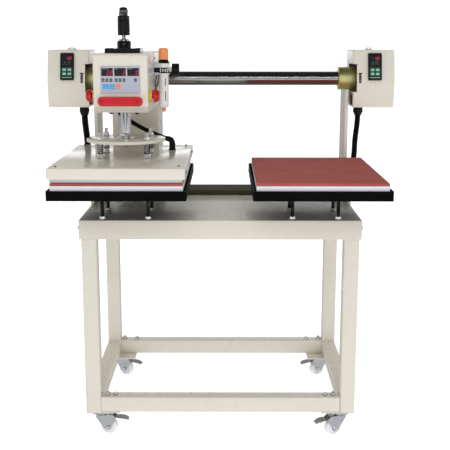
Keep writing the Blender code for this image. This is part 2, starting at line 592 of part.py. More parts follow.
for s in (-1, 1):
    base = rod(0.0200, HEAD_HALF - 0.001, HEAD_HALF + 0.0095, (0, 0, 0), "x", 32, 0.001)
    if s < 0:
        turn(base, 180, "Z")
    shift(base, (hx, ESTOP_Y, ESTOP_Z))
    add(cover, base)
    hole = rod(0.0106, 0.060, 0.120, (0, 0, 0), "x", 24)
    if s < 0:
        turn(hole, 180, "Z")
    shift(hole, (hx, ESTOP_Y, ESTOP_Z))
    cut(cover, hole)
finish(cover, "head_cover", "cream", (hx, HEAD_SPLIT_Y, SHAFT_Z))

# carriage: box over the shaft, rear column down to the guide beam, and the arm that holds the cylinder
rear_half, col_half = 0.0875, 0.0845
car = box(hx - rear_half, hx + rear_half, HEAD_SPLIT_Y + GAP, HEAD_BACK_Y, HEAD_Z0, HEAD_Z1, 0.004, 2,
          lambda d, m: m.z > HEAD_Z0 + 0.001 and m.y > HEAD_SPLIT_Y + 0.01)
add(car,
    box(hx - col_half, hx + col_half, COLUMN_FRONT_Y, HEAD_BACK_Y - 0.0005, COLUMN_FOOT_Z, HEAD_Z0 + 0.02, 0.004, 2, along("z")))
wall = 0.004
cut(car,
    box(hx - rear_half + wall, hx + rear_half - wall, HEAD_SPLIT_Y + 0.006, HEAD_BACK_Y - wall, HEAD_Z0 + wall, HEAD_Z1 - wall),
    box(hx - col_half + wall, hx + col_half - wall, COLUMN_FRONT_Y + wall, HEAD_BACK_Y - wall - 0.001, COLUMN_FOOT_Z - 0.02, HEAD_Z0 + 0.03))
ax0, ax1 = hx - 0.0805, hx + 0.0805
add(car,
    box(ax0, ax1, -0.308, HEAD_SPLIT_Y + 0.004, ARM_Z0, ARM_Z0 + ARM_T),
    box(ax0, ax0 + 0.008, -0.300, HEAD_SPLIT_Y + 0.004, ARM_Z0 + 0.004, 1.262),
    box(ax1 - 0.008, ax1, -0.300, HEAD_SPLIT_Y + 0.004, ARM_Z0 + 0.004, 1.262),
    rod(0.0380, hx - rear_half + 0.001, hx + rear_half - 0.001, (0, SHAFT_Y, SHAFT_Z), "x", 40))
cut(car,
    rod(0.0324, hx - rear_half - 0.01, hx + rear_half + 0.01, (0, SHAFT_Y, SHAFT_Z), "x", 40),
    rod(0.0300, ARM_Z0 - 0.01, ARM_Z0 + ARM_T + 0.01, (hx, PLATEN_Y, 0), "z", 32))
for s in (-1, 1):
    cut(car, rod(0.0120, hx + s * 0.060 if s > 0 else hx - 0.100, hx + 0.100 if s > 0 else hx - 0.060, (0, ESTOP_Y + 0.0, ESTOP_Z), "x", 20))
roller_y = BEAM_Y0 - ROLLER_R - 0.0006
ROLLER_Z0 = TABLE_Z + 0.0035
add(car,
    box(hx - 0.030, hx + 0.030, COLUMN_FRONT_Y + 0.001, HEAD_BACK_Y - 0.001, COLUMN_FOOT_Z + 0.0005, COLUMN_FOOT_Z + 0.0085),
    turned([(0.0085, ROLLER_Z0 + ROLLER_H + 0.001), (0.0085, COLUMN_FOOT_Z + 0.004), (0.0085, COLUMN_FOOT_Z + 0.005)], (hx, roller_y, 0), "z", 20),
    turned([(0.0050, ROLLER_Z0 - 0.0012), (0.0050, ROLLER_Z0 + ROLLER_H + 0.003)], (hx, roller_y, 0), "z", 20))
finish(car, "carriage", "cream", (hx, SHAFT_Y, SHAFT_Z))

finish(ring(SHAFT_R + 0.0004, 0.0316, hx - 0.080, hx + 0.080, (0, SHAFT_Y, SHAFT_Z), "x", 48),
       "slide_bushing", "bronze", (hx, SHAFT_Y, SHAFT_Z))
finish(ring(0.0058, ROLLER_R, ROLLER_Z0, ROLLER_Z0 + ROLLER_H, (hx, roller_y, 0), "z", 32, 0.0012),
       "guide_roller", "dark_steel", (hx, roller_y, ROLLER_Z0 + ROLLER_H / 2))

# pneumatic cylinder
cyl_z0 = ARM_Z0 + ARM_T + GAP
flange_z0 = HEAD_Z1 + GAP
cyl = turned([(ROD_R + 0.0006, cyl_z0 - 0.022), (0.0285, cyl_z0 - 0.022), (0.0285, cyl_z0), (0.0480, cyl_z0), (0.0490, cyl_z0 + 0.001),
              (0.0490, flange_z0 + 0.004),
              (THIN_R + 0.0006, flange_z0 + 0.004), (THIN_R + 0.0006, flange_z0 - 0.014),
              (PISTON_R - 0.0002, flange_z0 - 0.014), (PISTON_R - 0.0002, cyl_z0 + 0.010), (ROD_R + 0.0006, cyl_z0 + 0.010)],
             (hx, PLATEN_Y, 0), "z", 40, closed=True)
flange = box(hx - 0.0565, hx + 0.0565, PLATEN_Y - 0.0565, PLATEN_Y + 0.0565, flange_z0, flange_z0 + 0.0145, 0.003, 2,
             lambda d, m: abs(d.z) > 0.9 or m.z > flange_z0 + 0.01)
cut(flange, rod(THIN_R + 0.0010, flange_z0 - 0.01, flange_z0 + 0.03, (hx, PLATEN_Y, 0), "z", 24))
neck = turned([(THIN_R + 0.0006, flange_z0 + 0.0125), (0.0225, flange_z0 + 0.0125), (0.0225, flange_z0 + 0.0365), (0.0215, flange_z0 + 0.0375),
               (0.0195, flange_z0 + 0.0375), (0.0195, flange_z0 + 0.0425), (0.0185, flange_z0 + 0.0435), (THIN_R + 0.0006, flange_z0 + 0.0435)],
              (hx, PLATEN_Y, 0), "z", 32, closed=True)
add(cyl, flange, neck)
finish(cyl, "air_cylinder", "black_paint", (hx, PLATEN_Y, cyl_z0))

# control panel, handle bar
finish(prism(round_rect(hx - 0.0625, hx + 0.0625, 1.1710, 1.2570, 0.004, 3), "y", HEAD_FRONT_Y - 0.0013, HEAD_FRONT_Y - GAP),
       "control_panel", "panel", (hx, HEAD_FRONT_Y, 1.214))
bar = prism(round_rect(hx - 0.0700, hx + 0.0700, 1.1330, 1.1620, 0.0115, 5), "y", HEAD_FRONT_Y - 0.0240, HEAD_FRONT_Y - 0.0110)
bm = bmesh.new()
bm.from_mesh(bar.data)
picked = [e for e in bm.edges if all(abs(v.co.y - e.verts[0].co.y) < 1e-6 for v in e.verts)]
bmesh.ops.bevel(bm, geom=picked, offset=0.0035, segments=2, profile=0.5, affect="EDGES", clamp_overlap=True)
bm.to_mesh(bar.data)
bm.free()
for s in (-1, 1):
    add(bar, rod(0.0095, HEAD_FRONT_Y - 0.0150, HEAD_FRONT_Y - GAP, (hx + s * 0.0555, 0, 1.1475), "y", 20))
finish(bar, "pull_handle", "red", (hx, HEAD_FRONT_Y, 1.1475))

# emergency stops: a mushroom head on a stem that slides into the side of the cover
for tag, s in (("left", -1), ("right", 1)):
    btn = turned([(0.0098, 0.0805), (0.0098, 0.0990), (0.0195, 0.0990), (0.0203, 0.1000), (0.0203, 0.1060), (0.0190, 0.1120),
                  (0.0150, 0.1160), (0.0080, 0.1180)], (0, 0, 0), "x", 32)
    if s < 0:
        turn(btn, 180, "Z")
    shift(btn, (hx, ESTOP_Y, ESTOP_Z))
    finish(btn, "estop_button_" + tag, "red", (hx + s * 0.0990, ESTOP_Y, ESTOP_Z))

# filter regulator with its slide valve
rc = (REG_X, REG_Y, 0)
reg = turned([(0.0170, 1.2262), (0.0205, 1.2285), (0.0205, 1.2560), (0.0190, 1.2600), (0.0190, 1.2660), (0.0165, 1.2705)], rc, "z", 32)
add(reg,
    box(REG_X - 0.0235, REG_X + 0.0205, REG_Y - 0.0135, REG_Y + 0.0135, 1.2315, 1.2545, 0.002, 1),
    box(HEAD_X + HEAD_HALF + GAP, REG_X - 0.0150, REG_Y - 0.0150, REG_Y - 0.0110, 1.2200, 1.2620),
    rod(0.0075, REG_X + 0.0150, REG_X + 0.0475, (0, REG_Y, VALVE_Z), "x", 20),
    rod(0.0100, REG_X + 0.0150, REG_X + 0.0245, (0, REG_Y, VALVE_Z), "x", 6))
finish(reg, "regulator_body", "grey_cast", (REG_X, REG_Y, 1.2385))
knob = turned([(0.0140, 1.2712), (0.0168, 1.2722), (0.0168, 1.3000), (0.0155, 1.3060), (0.0110, 1.3095), (0.0050, 1.3110)], rc, "z", 32)
finish(knob, "regulator_knob", "orange", (REG_X, REG_Y, 1.2712))
bowl = turned([(0.0040, 1.0962), (0.0062, 1.0972), (0.0062, 1.1090), (0.0125, 1.1110), (0.0158, 1.1160), (0.0165, 1.1230),
               (0.0165, 1.2170), (0.0185, 1.2180), (0.0185, 1.2250), (0.0170, 1.2256)], rc, "z", 32)
finish(bowl, "regulator_bowl", "white_plastic", (REG_X, REG_Y, 1.2256))
sleeve = ring(0.0082, 0.0200, REG_X + 0.0280, REG_X + 0.0525, (0, REG_Y, VALVE_Z), "x", 32, 0.0015)
finish(sleeve, "slide_valve_sleeve", "black_plastic", (REG_X + 0.0280, REG_Y, VALVE_Z))

# ---------------------------------------------------------------- press ram
pc = (hx, PLATEN_Y, 0)
piston_z = cyl_z0 + 0.0110
ram = turned([(0.0290, DISC_Z1 + GAP), (0.0290, DISC_Z1 + 0.0070), (0.0230, DISC_Z1 + 0.0075), (0.0230, DISC_Z1 + 0.0150), (ROD_R, DISC_Z1 + 0.0165),
              (ROD_R, piston_z), (PISTON_R - 0.0008, piston_z), (PISTON_R - 0.0008, piston_z + 0.022), (THIN_R, piston_z + 0.022),
              (THIN_R, SLEEVE_Z1 + GAP), (0.0162, SLEEVE_Z1 + GAP), (0.0162, SLEEVE_Z1 + 0.0085), (0.0125, SLEEVE_Z1 + 0.0090), (0.0125, SLEEVE_Z1 + 0.0100),
              (0.0158, SLEEVE_Z1 + 0.0105), (0.0158, SLEEVE_Z1 + 0.0185), (0.0128, SLEEVE_Z1 + 0.0190), (0.0128, TOP_Z - 0.003), (0.0085, TOP_Z)],
             pc, "z", 40)
finish(ram, "piston_rod", "hard_chrome", (hx, PLATEN_Y, DISC_Z1))

disc = turned([(DISC_R, DISC_Z0), (DISC_R, DISC_Z1)], pc, "z", 60)
for ix in (-1, 1):
    for iy in (-1, 1):
        c = (hx + ix * STUD_PITCH / 2, PLATEN_Y + iy * STUD_PITCH / 2, 0)
        add(disc, turned([(STUD_R, HEATER_Z1 + 0.0004), (STUD_R, COVER_Z1 + 0.0010), (0.0105, COVER_Z1 + 0.0010), (0.0105, COVER_Z1 + 0.0110),
                          (0.0075, COVER_Z1 + 0.0110), (0.0075, DISC_Z1 - 0.001), (0.0105, DISC_Z1 - 0.001), (0.0105, DISC_Z1 + 0.0100),
                          (STUD_R, DISC_Z1 + 0.0100), (STUD_R, DISC_Z1 + 0.0200)], c, "z", 16))
finish(disc, "press_disc", "cream", (hx, PLATEN_Y, DISC_Z0))

y0, y1 = PLATEN_Y - COVER_D / 2, PLATEN_Y + COVER_D / 2
cov = box(hx - COVER_W / 2, hx + COVER_W / 2, y0, y1, COVER_Z0, COVER_Z1, 0.003, 2, lambda d, m: abs(d.z) > 0.9 or m.z > COVER_Z1 - 0.001)
cut(cov, box(hx - COVER_W / 2 + SHEET, hx + COVER_W / 2 - SHEET, y0 + SHEET, y1 - SHEET, COVER_Z0 - 0.01, COVER_Z1 - SHEET))
for ix in (-1, 1):
    for iy in (-1, 1):
        cut(cov, rod(0.0072, COVER_Z1 - 0.01, COVER_Z1 + 0.01, (hx + ix * STUD_PITCH / 2, PLATEN_Y + iy * STUD_PITCH / 2, 0), "z", 16))
EL_X, EL_Y = -0.168, -0.086
cut(cov, rod(0.0085, COVER_Z1 - 0.01, COVER_Z1 + 0.01, (EL_X, EL_Y, 0), "z", 16))
finish(cov, "heater_cover", "cream", (hx, PLATEN_Y, COVER_Z0))
finish(box(hx - PAD_W / 2, hx + PAD_W / 2, PLATEN_Y - PAD_D / 2, PLATEN_Y + PAD_D / 2, HEATER_Z0, HEATER_Z1, 0.0015, 2),
       "upper_heat_plate", "aluminium", (hx, PLATEN_Y, HEATER_Z0))

finish(turned([(THIN_R + 0.0007, SLEEVE_Z0), (SLEEVE_R - 0.001, SLEEVE_Z0), (SLEEVE_R, SLEEVE_Z0 + 0.001), (SLEEVE_R, SLEEVE_Z1 - 0.001),
               (SLEEVE_R - 0.001, SLEEVE_Z1), (THIN_R + 0.0007, SLEEVE_Z1)], pc, "z", 36, closed=True),
       "stroke_stop_sleeve", "black_paint", (hx, PLATEN_Y, SLEEVE_Z0))

# heater cable: elbow on the heater cover, then a flexible hose up to the underside of the carriage
elbow = [(EL_X, EL_Y, COVER_Z1 - 0.012), (EL_X, EL_Y, COVER_Z1 + 0.0006), (EL_X, EL_Y, COVER_Z1 + 0.0022), (EL_X, EL_Y, COVER_Z1 + 0.022), (EL_X - 0.003, EL_Y, COVER_Z1 + 0.031),
         (EL_X - 0.011, EL_Y, COVER_Z1 + 0.037)]
hose = (elbow + bezier((EL_X - 0.022, EL_Y, COVER_Z1 + 0.0405), (EL_X - 0.075, EL_Y - 0.002, COVER_Z1 + 0.062), (-0.295, -0.096, 1.046),
                       (-0.344, -0.100, 1.0880), 7) + [(-0.3485, -0.1005, 1.0970), (-0.3500, -0.1010, 1.1065)])
hose_radii = [0.0076, 0.0076, 0.0100, 0.0105, 0.0105, 0.0100] + [0.0078] * 10
finish(swept(hose, hose_radii, 12), "heater_cable", "black_plastic", (EL_X, EL_Y, COVER_Z1))
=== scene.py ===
"""Looks of the double-station heat press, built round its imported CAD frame.

Metres, +Z up, floor at Z = 0, front of the machine at -Y.
"""

import json
import math

import bmesh
import bpy
import numpy as np
from mathutils import Matrix, Vector

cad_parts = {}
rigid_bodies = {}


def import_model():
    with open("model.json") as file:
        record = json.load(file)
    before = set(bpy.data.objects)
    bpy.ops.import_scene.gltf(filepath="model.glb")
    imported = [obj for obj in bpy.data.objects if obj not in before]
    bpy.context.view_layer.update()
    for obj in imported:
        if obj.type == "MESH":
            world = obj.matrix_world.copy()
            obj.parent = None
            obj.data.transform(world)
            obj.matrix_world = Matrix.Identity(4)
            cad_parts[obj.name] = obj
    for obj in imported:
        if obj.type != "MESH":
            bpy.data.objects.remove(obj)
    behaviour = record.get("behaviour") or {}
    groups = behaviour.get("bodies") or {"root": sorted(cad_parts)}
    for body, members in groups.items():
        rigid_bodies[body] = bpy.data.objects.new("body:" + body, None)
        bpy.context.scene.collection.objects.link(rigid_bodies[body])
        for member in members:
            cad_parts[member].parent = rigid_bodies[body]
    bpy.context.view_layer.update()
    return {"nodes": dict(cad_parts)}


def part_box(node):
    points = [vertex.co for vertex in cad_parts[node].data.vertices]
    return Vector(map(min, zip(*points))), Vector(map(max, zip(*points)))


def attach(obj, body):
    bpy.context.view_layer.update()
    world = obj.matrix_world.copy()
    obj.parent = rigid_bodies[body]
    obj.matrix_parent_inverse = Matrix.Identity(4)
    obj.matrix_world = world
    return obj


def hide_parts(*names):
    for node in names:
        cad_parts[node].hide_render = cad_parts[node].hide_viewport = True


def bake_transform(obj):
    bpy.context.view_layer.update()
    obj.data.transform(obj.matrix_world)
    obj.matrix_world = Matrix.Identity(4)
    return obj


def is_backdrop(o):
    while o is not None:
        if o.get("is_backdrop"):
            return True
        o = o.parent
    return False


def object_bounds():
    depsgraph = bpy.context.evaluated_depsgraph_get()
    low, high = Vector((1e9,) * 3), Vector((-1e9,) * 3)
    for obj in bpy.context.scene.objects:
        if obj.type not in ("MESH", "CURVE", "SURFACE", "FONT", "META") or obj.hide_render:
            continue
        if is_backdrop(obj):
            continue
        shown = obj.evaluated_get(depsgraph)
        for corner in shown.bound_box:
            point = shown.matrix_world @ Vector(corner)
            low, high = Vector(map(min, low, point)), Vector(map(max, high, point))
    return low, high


for old in list(bpy.data.objects):
    bpy.data.objects.remove(old, do_unlink=True)

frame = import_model()
NODES = frame["nodes"]
scene = bpy.context.scene
# dimensions are laid out from the middle of the table, which stands this far behind the origin
DATUM_Y = round((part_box("slide_shaft")[0].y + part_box("slide_shaft")[1].y) / 2 - 0.129, 4)


# ===================================================================== shapes
def link(me, name="tmp"):
    ob = bpy.data.objects.new(name, me)
    scene.collection.objects.link(ob)
    return ob


def raw(verts, faces, name="tmp"):
    me = bpy.data.meshes.new(name)
    me.from_pydata([tuple(v) for v in verts], [], faces)
    bm = bmesh.new()
    bm.from_mesh(me)
    bmesh.ops.remove_doubles(bm, verts=bm.verts, dist=1e-7)
    bmesh.ops.recalc_face_normals(bm, faces=bm.faces)
    bm.to_mesh(me)
    bm.free()
    return link(me, name)


def box(x0, x1, y0, y1, z0, z1, r=0.0, seg=3, keep=None):
    bm = bmesh.new()
    bmesh.ops.create_cube(bm, size=1.0)
    for v in bm.verts:
        v.co = Vector(((x0 + x1) / 2 + v.co.x * (x1 - x0), (y0 + y1) / 2 + v.co.y * (y1 - y0), (z0 + z1) / 2 + v.co.z * (z1 - z0)))
    if r:
        edges = []
        for e in bm.edges:
            a, b = e.verts
            if keep is None or keep((b.co - a.co).normalized(), (a.co + b.co) / 2):
                edges.append(e)
        bmesh.ops.bevel(bm, geom=edges, offset=r, segments=seg, profile=0.5, affect="EDGES", clamp_overlap=True)
    bmesh.ops.recalc_face_normals(bm, faces=bm.faces)
    me = bpy.data.meshes.new("box")
    bm.to_mesh(me)
    bm.free()
    return link(me, "box")


def along(axis):
    i = "xyz".index(axis)
    return lambda d, m: abs(d[i]) > 0.99


def rings(points_of, n_rings, n, caps=True):
    verts = [points_of(i, j) for i in range(n_rings) for j in range(n)]
    faces = []
    for i in range(n_rings - 1):
        for j in range(n):
            k = (j + 1) % n
            faces.append((i * n + j, i * n + k, (i + 1) * n + k, (i + 1) * n + j))
    if caps:
        faces.append(tuple(range(n - 1, -1, -1)))
        faces.append(tuple((n_rings - 1) * n + j for j in range(n)))
    return verts, faces


AXES = {
    "z": (Vector((1, 0, 0)), Vector((0, 1, 0)), Vector((0, 0, 1))),
    "x": (Vector((0, 1, 0)), Vector((0, 0, 1)), Vector((1, 0, 0))),
    "y": (Vector((0, 0, 1)), Vector((1, 0, 0)), Vector((0, 1, 0))),
}


def turned(profile, centre=(0, 0, 0), axis="z", n=64, closed=False, phase=0.5, wave=None):
    """Body of revolution from (radius, height) pairs. wave(angle, radius, height) may change the radius."""
    u, v, w = AXES[axis]
    c = Vector(centre)

    def at(i, j):
        r, h = profile[i % len(profile)]
        a = 2 * math.pi * (j + phase) / n
        if wave:
            r = wave(a, r, h)
        return c + u * (r * math.cos(a)) + v * (r * math.sin(a)) + w * h

    if closed:
        m = len(profile)
        verts = [at(i, j) for i in range(m) for j in range(n)]
        faces = []
        for i in range(m):
            for j in range(n):
                k, i2 = (j + 1) % n, (i + 1) % m
                faces.append((i * n + j, i * n + k, i2 * n + k, i2 * n + j))
        return raw(verts, faces)
    verts, faces = rings(at, len(profile), n)
    return raw(verts, faces)


def rod(r, h0, h1, centre=(0, 0, 0), axis="z", n=48, c=0.0):
    p = [(r, h0), (r, h1)] if not c else [(r - c, h0), (r - c * 0.3, h0 + c * 0.3), (r, h0 + c), (r, h1 - c), (r - c * 0.3, h1 - c * 0.3), (r - c, h1)]
    return turned(p, centre, axis, n)


def ring(r_in, r_out, h0, h1, centre=(0, 0, 0), axis="z", n=64, c=0.0):
    if c:
        p = [(r_in, h0), (r_out - c, h0), (r_out - c * 0.3, h0 + c * 0.3), (r_out, h0 + c), (r_out, h1 - c), (r_out - c * 0.3, h1 - c * 0.3), (r_out - c, h1), (r_in, h1)]
    else:
        p = [(r_in, h0), (r_out, h0), (r_out, h1), (r_in, h1)]
    return turned(p, centre, axis, n, closed=True)


def prism(points, axis, lo, hi):
    """Polygon extruded along an axis. Points are (y, z) for x, (x, z) for y, (x, y) for z."""
    n = len(points)
    verts = []
    for h in (lo, hi):
        for p in points:
            verts.append((h, p[0], p[1]) if axis == "x" else (p[0], h, p[1]) if axis == "y" else (p[0], p[1], h))
    faces = [tuple(range(n)), tuple(range(2 * n - 1, n - 1, -1))]
    for i in range(n):
        k = (i + 1) % n
        faces.append((i, k, n + k, n + i))
    return raw(verts, faces)


def arc(cx, cy, r, a0, a1, n):
    return [(cx + r * math.cos(math.radians(a0 + (a1 - a0) * i / n)), cy + r * math.sin(math.radians(a0 + (a1 - a0) * i / n))) for i in range(n + 1)]


def round_rect(x0, x1, y0, y1, r, n=8):
    return (arc(x1 - r, y1 - r, r, 0, 90, n) + arc(x0 + r, y1 - r, r, 90, 180, n) + arc(x0 + r, y0 + r, r, 180, 270, n) + arc(x1 - r, y0 + r, r, 270, 360, n))


def swept(path, radius, n=24, caps=True):
    """Round section along a path, carried without twist. radius may be one per point."""
    pts = [Vector(p) for p in path]
    m = len(pts)
    tang = [(pts[min(i + 1, m - 1)] - pts[max(i - 1, 0)]).normalized() for i in range(m)]
    side = tang[0].orthogonal().normalized()
    frames = []
    for i in range(m):
        side = (side - tang[i] * side.dot(tang[i])).normalized()
        frames.append((side.copy(), tang[i].cross(side)))
    radii = radius if isinstance(radius, (list, tuple)) else [radius] * m

    def at(i, j):
        a = 2 * math.pi * j / n
        s, t = frames[i]
        return pts[i] + (s * math.cos(a) + t * math.sin(a)) * radii[i]

    verts, faces = rings(at, m, n, caps)
    return raw(verts, faces)


def bezier(p0, p1, p2, p3, n):
    p0, p1, p2, p3 = (Vector(p) for p in (p0, p1, p2, p3))
    out = []
    for i in range(n + 1):
        t = i / n
        out.append(p0 * (1 - t) ** 3 + p1 * (3 * t * (1 - t) ** 2) + p2 * (3 * t * t * (1 - t)) + p3 * t ** 3)
    return out


def resample(path, step):
    """The same path with points at equal steps of length."""
    pts = [Vector(p) for p in path]
    out, left = [pts[0].copy()], step
    for a, b in zip(pts, pts[1:]):
        length, done = (b - a).length, 0.0
        while length - done >= left:
            done += left
            out.append(a + (b - a) * (done / length))
            left = step
        left -= length - done
    if (out[-1] - pts[-1]).length > step * 0.3:
        out.append(pts[-1].copy())
    return out


def corrugated(path, r, pitch=0.0030, depth=0.0011, n=28):
    """Flexible conduit: ridges round a path."""
    pts = resample(path, pitch / 6)
    prof = [0.0, 0.25, 0.85, 1.0, 0.85, 0.25]
    radii = [r - depth + depth * prof[i % 6] for i in range(len(pts))]
    return swept(pts, radii, n)


def spring(centre, r, wire, z0, z1, turns, n=10):
    """Coil spring standing on z0 with its end turns closed."""
    pts, steps = [], int(turns * 28)
    for i in range(steps + 1):
        t = i / steps
        a = 2 * math.pi * turns * t
        lead = min(1.0, max(0.0, (t * turns - 0.8) / (turns - 1.6)))
        z = z0 + wire + (z1 - z0 - 2 * wire) * lead
        pts.append((centre[0] + r * math.cos(a), centre[1] + r * math.sin(a), z))
    return swept(pts, wire, n)


def bake(ob):
    bpy.context.view_layer.update()
    dg = bpy.context.evaluated_depsgraph_get()
    me = bpy.data.meshes.new_from_object(ob.evaluated_get(dg))
    old = ob.data
    ob.modifiers.clear()
    ob.data = me
    bpy.data.meshes.remove(old)


def boolean(a, b, how):
    m = a.modifiers.new("step", "BOOLEAN")
    m.operation = how
    m.solver = "EXACT"
    m.object = b
    bake(a)
    bpy.data.objects.remove(b, do_unlink=True)
    return a


def cut(a, *tools):
    for t in tools:
        boolean(a, t, "DIFFERENCE")
    return a


def add(a, *more):
    for t in more:
        boolean(a, t, "UNION")
    return a


def move(ob, matrix):
    ob.data.transform(matrix)
    return ob


def turn(ob, angle_deg, axis="Z", about=(0, 0, 0)):
    return move(ob, Matrix.Translation(Vector(about)) @ Matrix.Rotation(math.radians(angle_deg), 4, axis) @ Matrix.Translation(-Vector(about)))


def shift(ob, d):
    return move(ob, Matrix.Translation(Vector(d)))


def mirrored(ob):
    me = ob.data.copy()
    me.transform(Matrix.Scale(-1, 4, Vector((1, 0, 0))))
    me.flip_normals()
    return link(me, "mirror")


def join(*obs):
    """Several shapes in one mesh, each staying a closed shell of its own."""
    bm = bmesh.new()
    for o in obs:
        bm.from_mesh(o.data)
    me = bpy.data.meshes.new("joined")
    bm.to_mesh(me)
    bm.free()
    for o in obs:
        bpy.data.objects.remove(o, do_unlink=True)
    return link(me, "joined")


def copies(master, places):
    """One mesh holding a copy of master at each matrix. The master is removed."""
    bm = bmesh.new()
    for m in places:
        me = master.data.copy()
        me.transform(m)
        if m.determinant() < 0:
            me.flip_normals()
        bm.from_mesh(me)
        bpy.data.meshes.remove(me)
    me = bpy.data.meshes.new("copies")
    bm.to_mesh(me)
    bm.free()
    bpy.data.objects.remove(master, do_unlink=True)
    return link(me, "copies")


def to(at, direction=(0, 0, 1), spin=0.0, size=1.0):
    """Matrix that sets a fastener modelled on +Z down at a point, facing a direction."""
    q = Vector((0, 0, 1)).rotation_difference(Vector(direction).normalized())
    return Matrix.Translation(Vector(at)) @ q.to_matrix().to_4x4() @ Matrix.Rotation(math.radians(spin), 4, "Z") @ Matrix.Scale(size, 4)


# ------------------------------------------------------------------ fasteners
def hex_body(af, h, hole=0.0, both=False, n=6):
    """Hexagon with its corners turned off by a 30 degree chamfer."""
    rc = af / math.sqrt(3)
    body = turned([(rc, 0), (rc, h)], (0, 0, 0), "z", 6)
    c = (rc - af / 2 * 0.96) * math.tan(math.radians(30))
    prof = [(af / 2 * 0.96, 0), (rc * 1.02, c * 1.1)] if both else [(rc * 1.02, 0)]
    prof += [(rc * 1.02, h - c * 1.1), (af / 2 * 0.96, h)]
    boolean(body, turned(prof, (0, 0, 0), "z", 48), "INTERSECT")
    if hole:
        cut(body, rod(hole, -0.01, h + 0.01, n=32))
    return body


def hex_bolt(m, washer=True):
    """Hexagon bolt head on a washer; m is the thread's diameter."""
    t = m * 0.22 if washer else 0.0
    parts = []
    if washer:
        parts.append(turned([(0.0002, 0), (m * 1.02, 0), (m * 1.07, t * 0.2), (m * 1.07, t * 0.8), (m * 1.02, t), (0.0002, t)], n=40))
    head = hex_body(m * 1.62, m * 0.66)
    parts.append(shift(head, (0, 0, t)))
    return join(*parts)


def nut_on_stud(m, proud=0.35, washer=True):
    """Nut on a washer with the end of its stud standing out."""
    t = m * 0.2 if washer else 0.0
    parts = []
    if washer:
        parts.append(turned([(0.0002, 0), (m * 1.02, 0), (m * 1.07, t * 0.2), (m * 1.07, t * 0.8), (m * 1.02, t), (0.0002, t)], n=40))
    parts.append(shift(hex_body(m * 1.62, m * 0.8, both=True), (0, 0, t)))
    parts.append(threaded(m / 2, t + m * 0.7, t + m * 0.8 + m * proud))
    return join(*parts)


def threaded(r, z0, z1, pitch=0.0012, centre=(0, 0, 0), n=28, axis="z"):
    """Screw thread drawn as close ridges, chamfered at its far end."""
    depth, prof, z = pitch * 0.42, [], z0
    while z + pitch < z1 - depth:
        prof += [(r - depth, z), (r, z + pitch * 0.4), (r, z + pitch * 0.6)]
        z += pitch
    prof += [(r - depth, z), (r - depth, z1 - depth), (r - 2 * depth, z1)]
    return turned(prof, centre, axis, n)


def socket_screw(m):
    """Cylindrical head with a hexagon socket."""
    r, h = m * 0.75, m
    head = turned([(r, 0), (r, h - m * 0.08), (r - m * 0.08, h)], n=48)
    tool = turned([(m * 0.44, h * 0.45), (m * 0.44, h + 0.01)], n=6)
    return cut(head, tool)


def pan_screw(r):
    """Pan head with a cross recess."""
    h = r * 0.72
    head = turned([(r, 0), (r, h * 0.30), (r * 0.95, h * 0.55), (r * 0.80, h * 0.80), (r * 0.50, h * 0.95), (r * 0.12, h)], n=40)
    w = r * 0.17
    tool = add(box(-r * 0.58, r * 0.58, -w, w, h * 0.42, h * 2), box(-w, w, -r * 0.58, r * 0.58, h * 0.41, h * 2.1))
    return cut(head, tool)


# ================================================================== materials
def new_material(name):
    m = bpy.data.materials.new(name)
    m.use_nodes = True
    nt = m.node_tree
    bsdf = nt.nodes["Principled BSDF"]
    return m, nt, bsdf


def node(nt, kind, **values):
    n = nt.nodes.new(kind)
    for k, v in values.items():
        if k.startswith("_"):
            setattr(n, k[1:], v)
        else:
            n.inputs[k].default_value = v
    return n


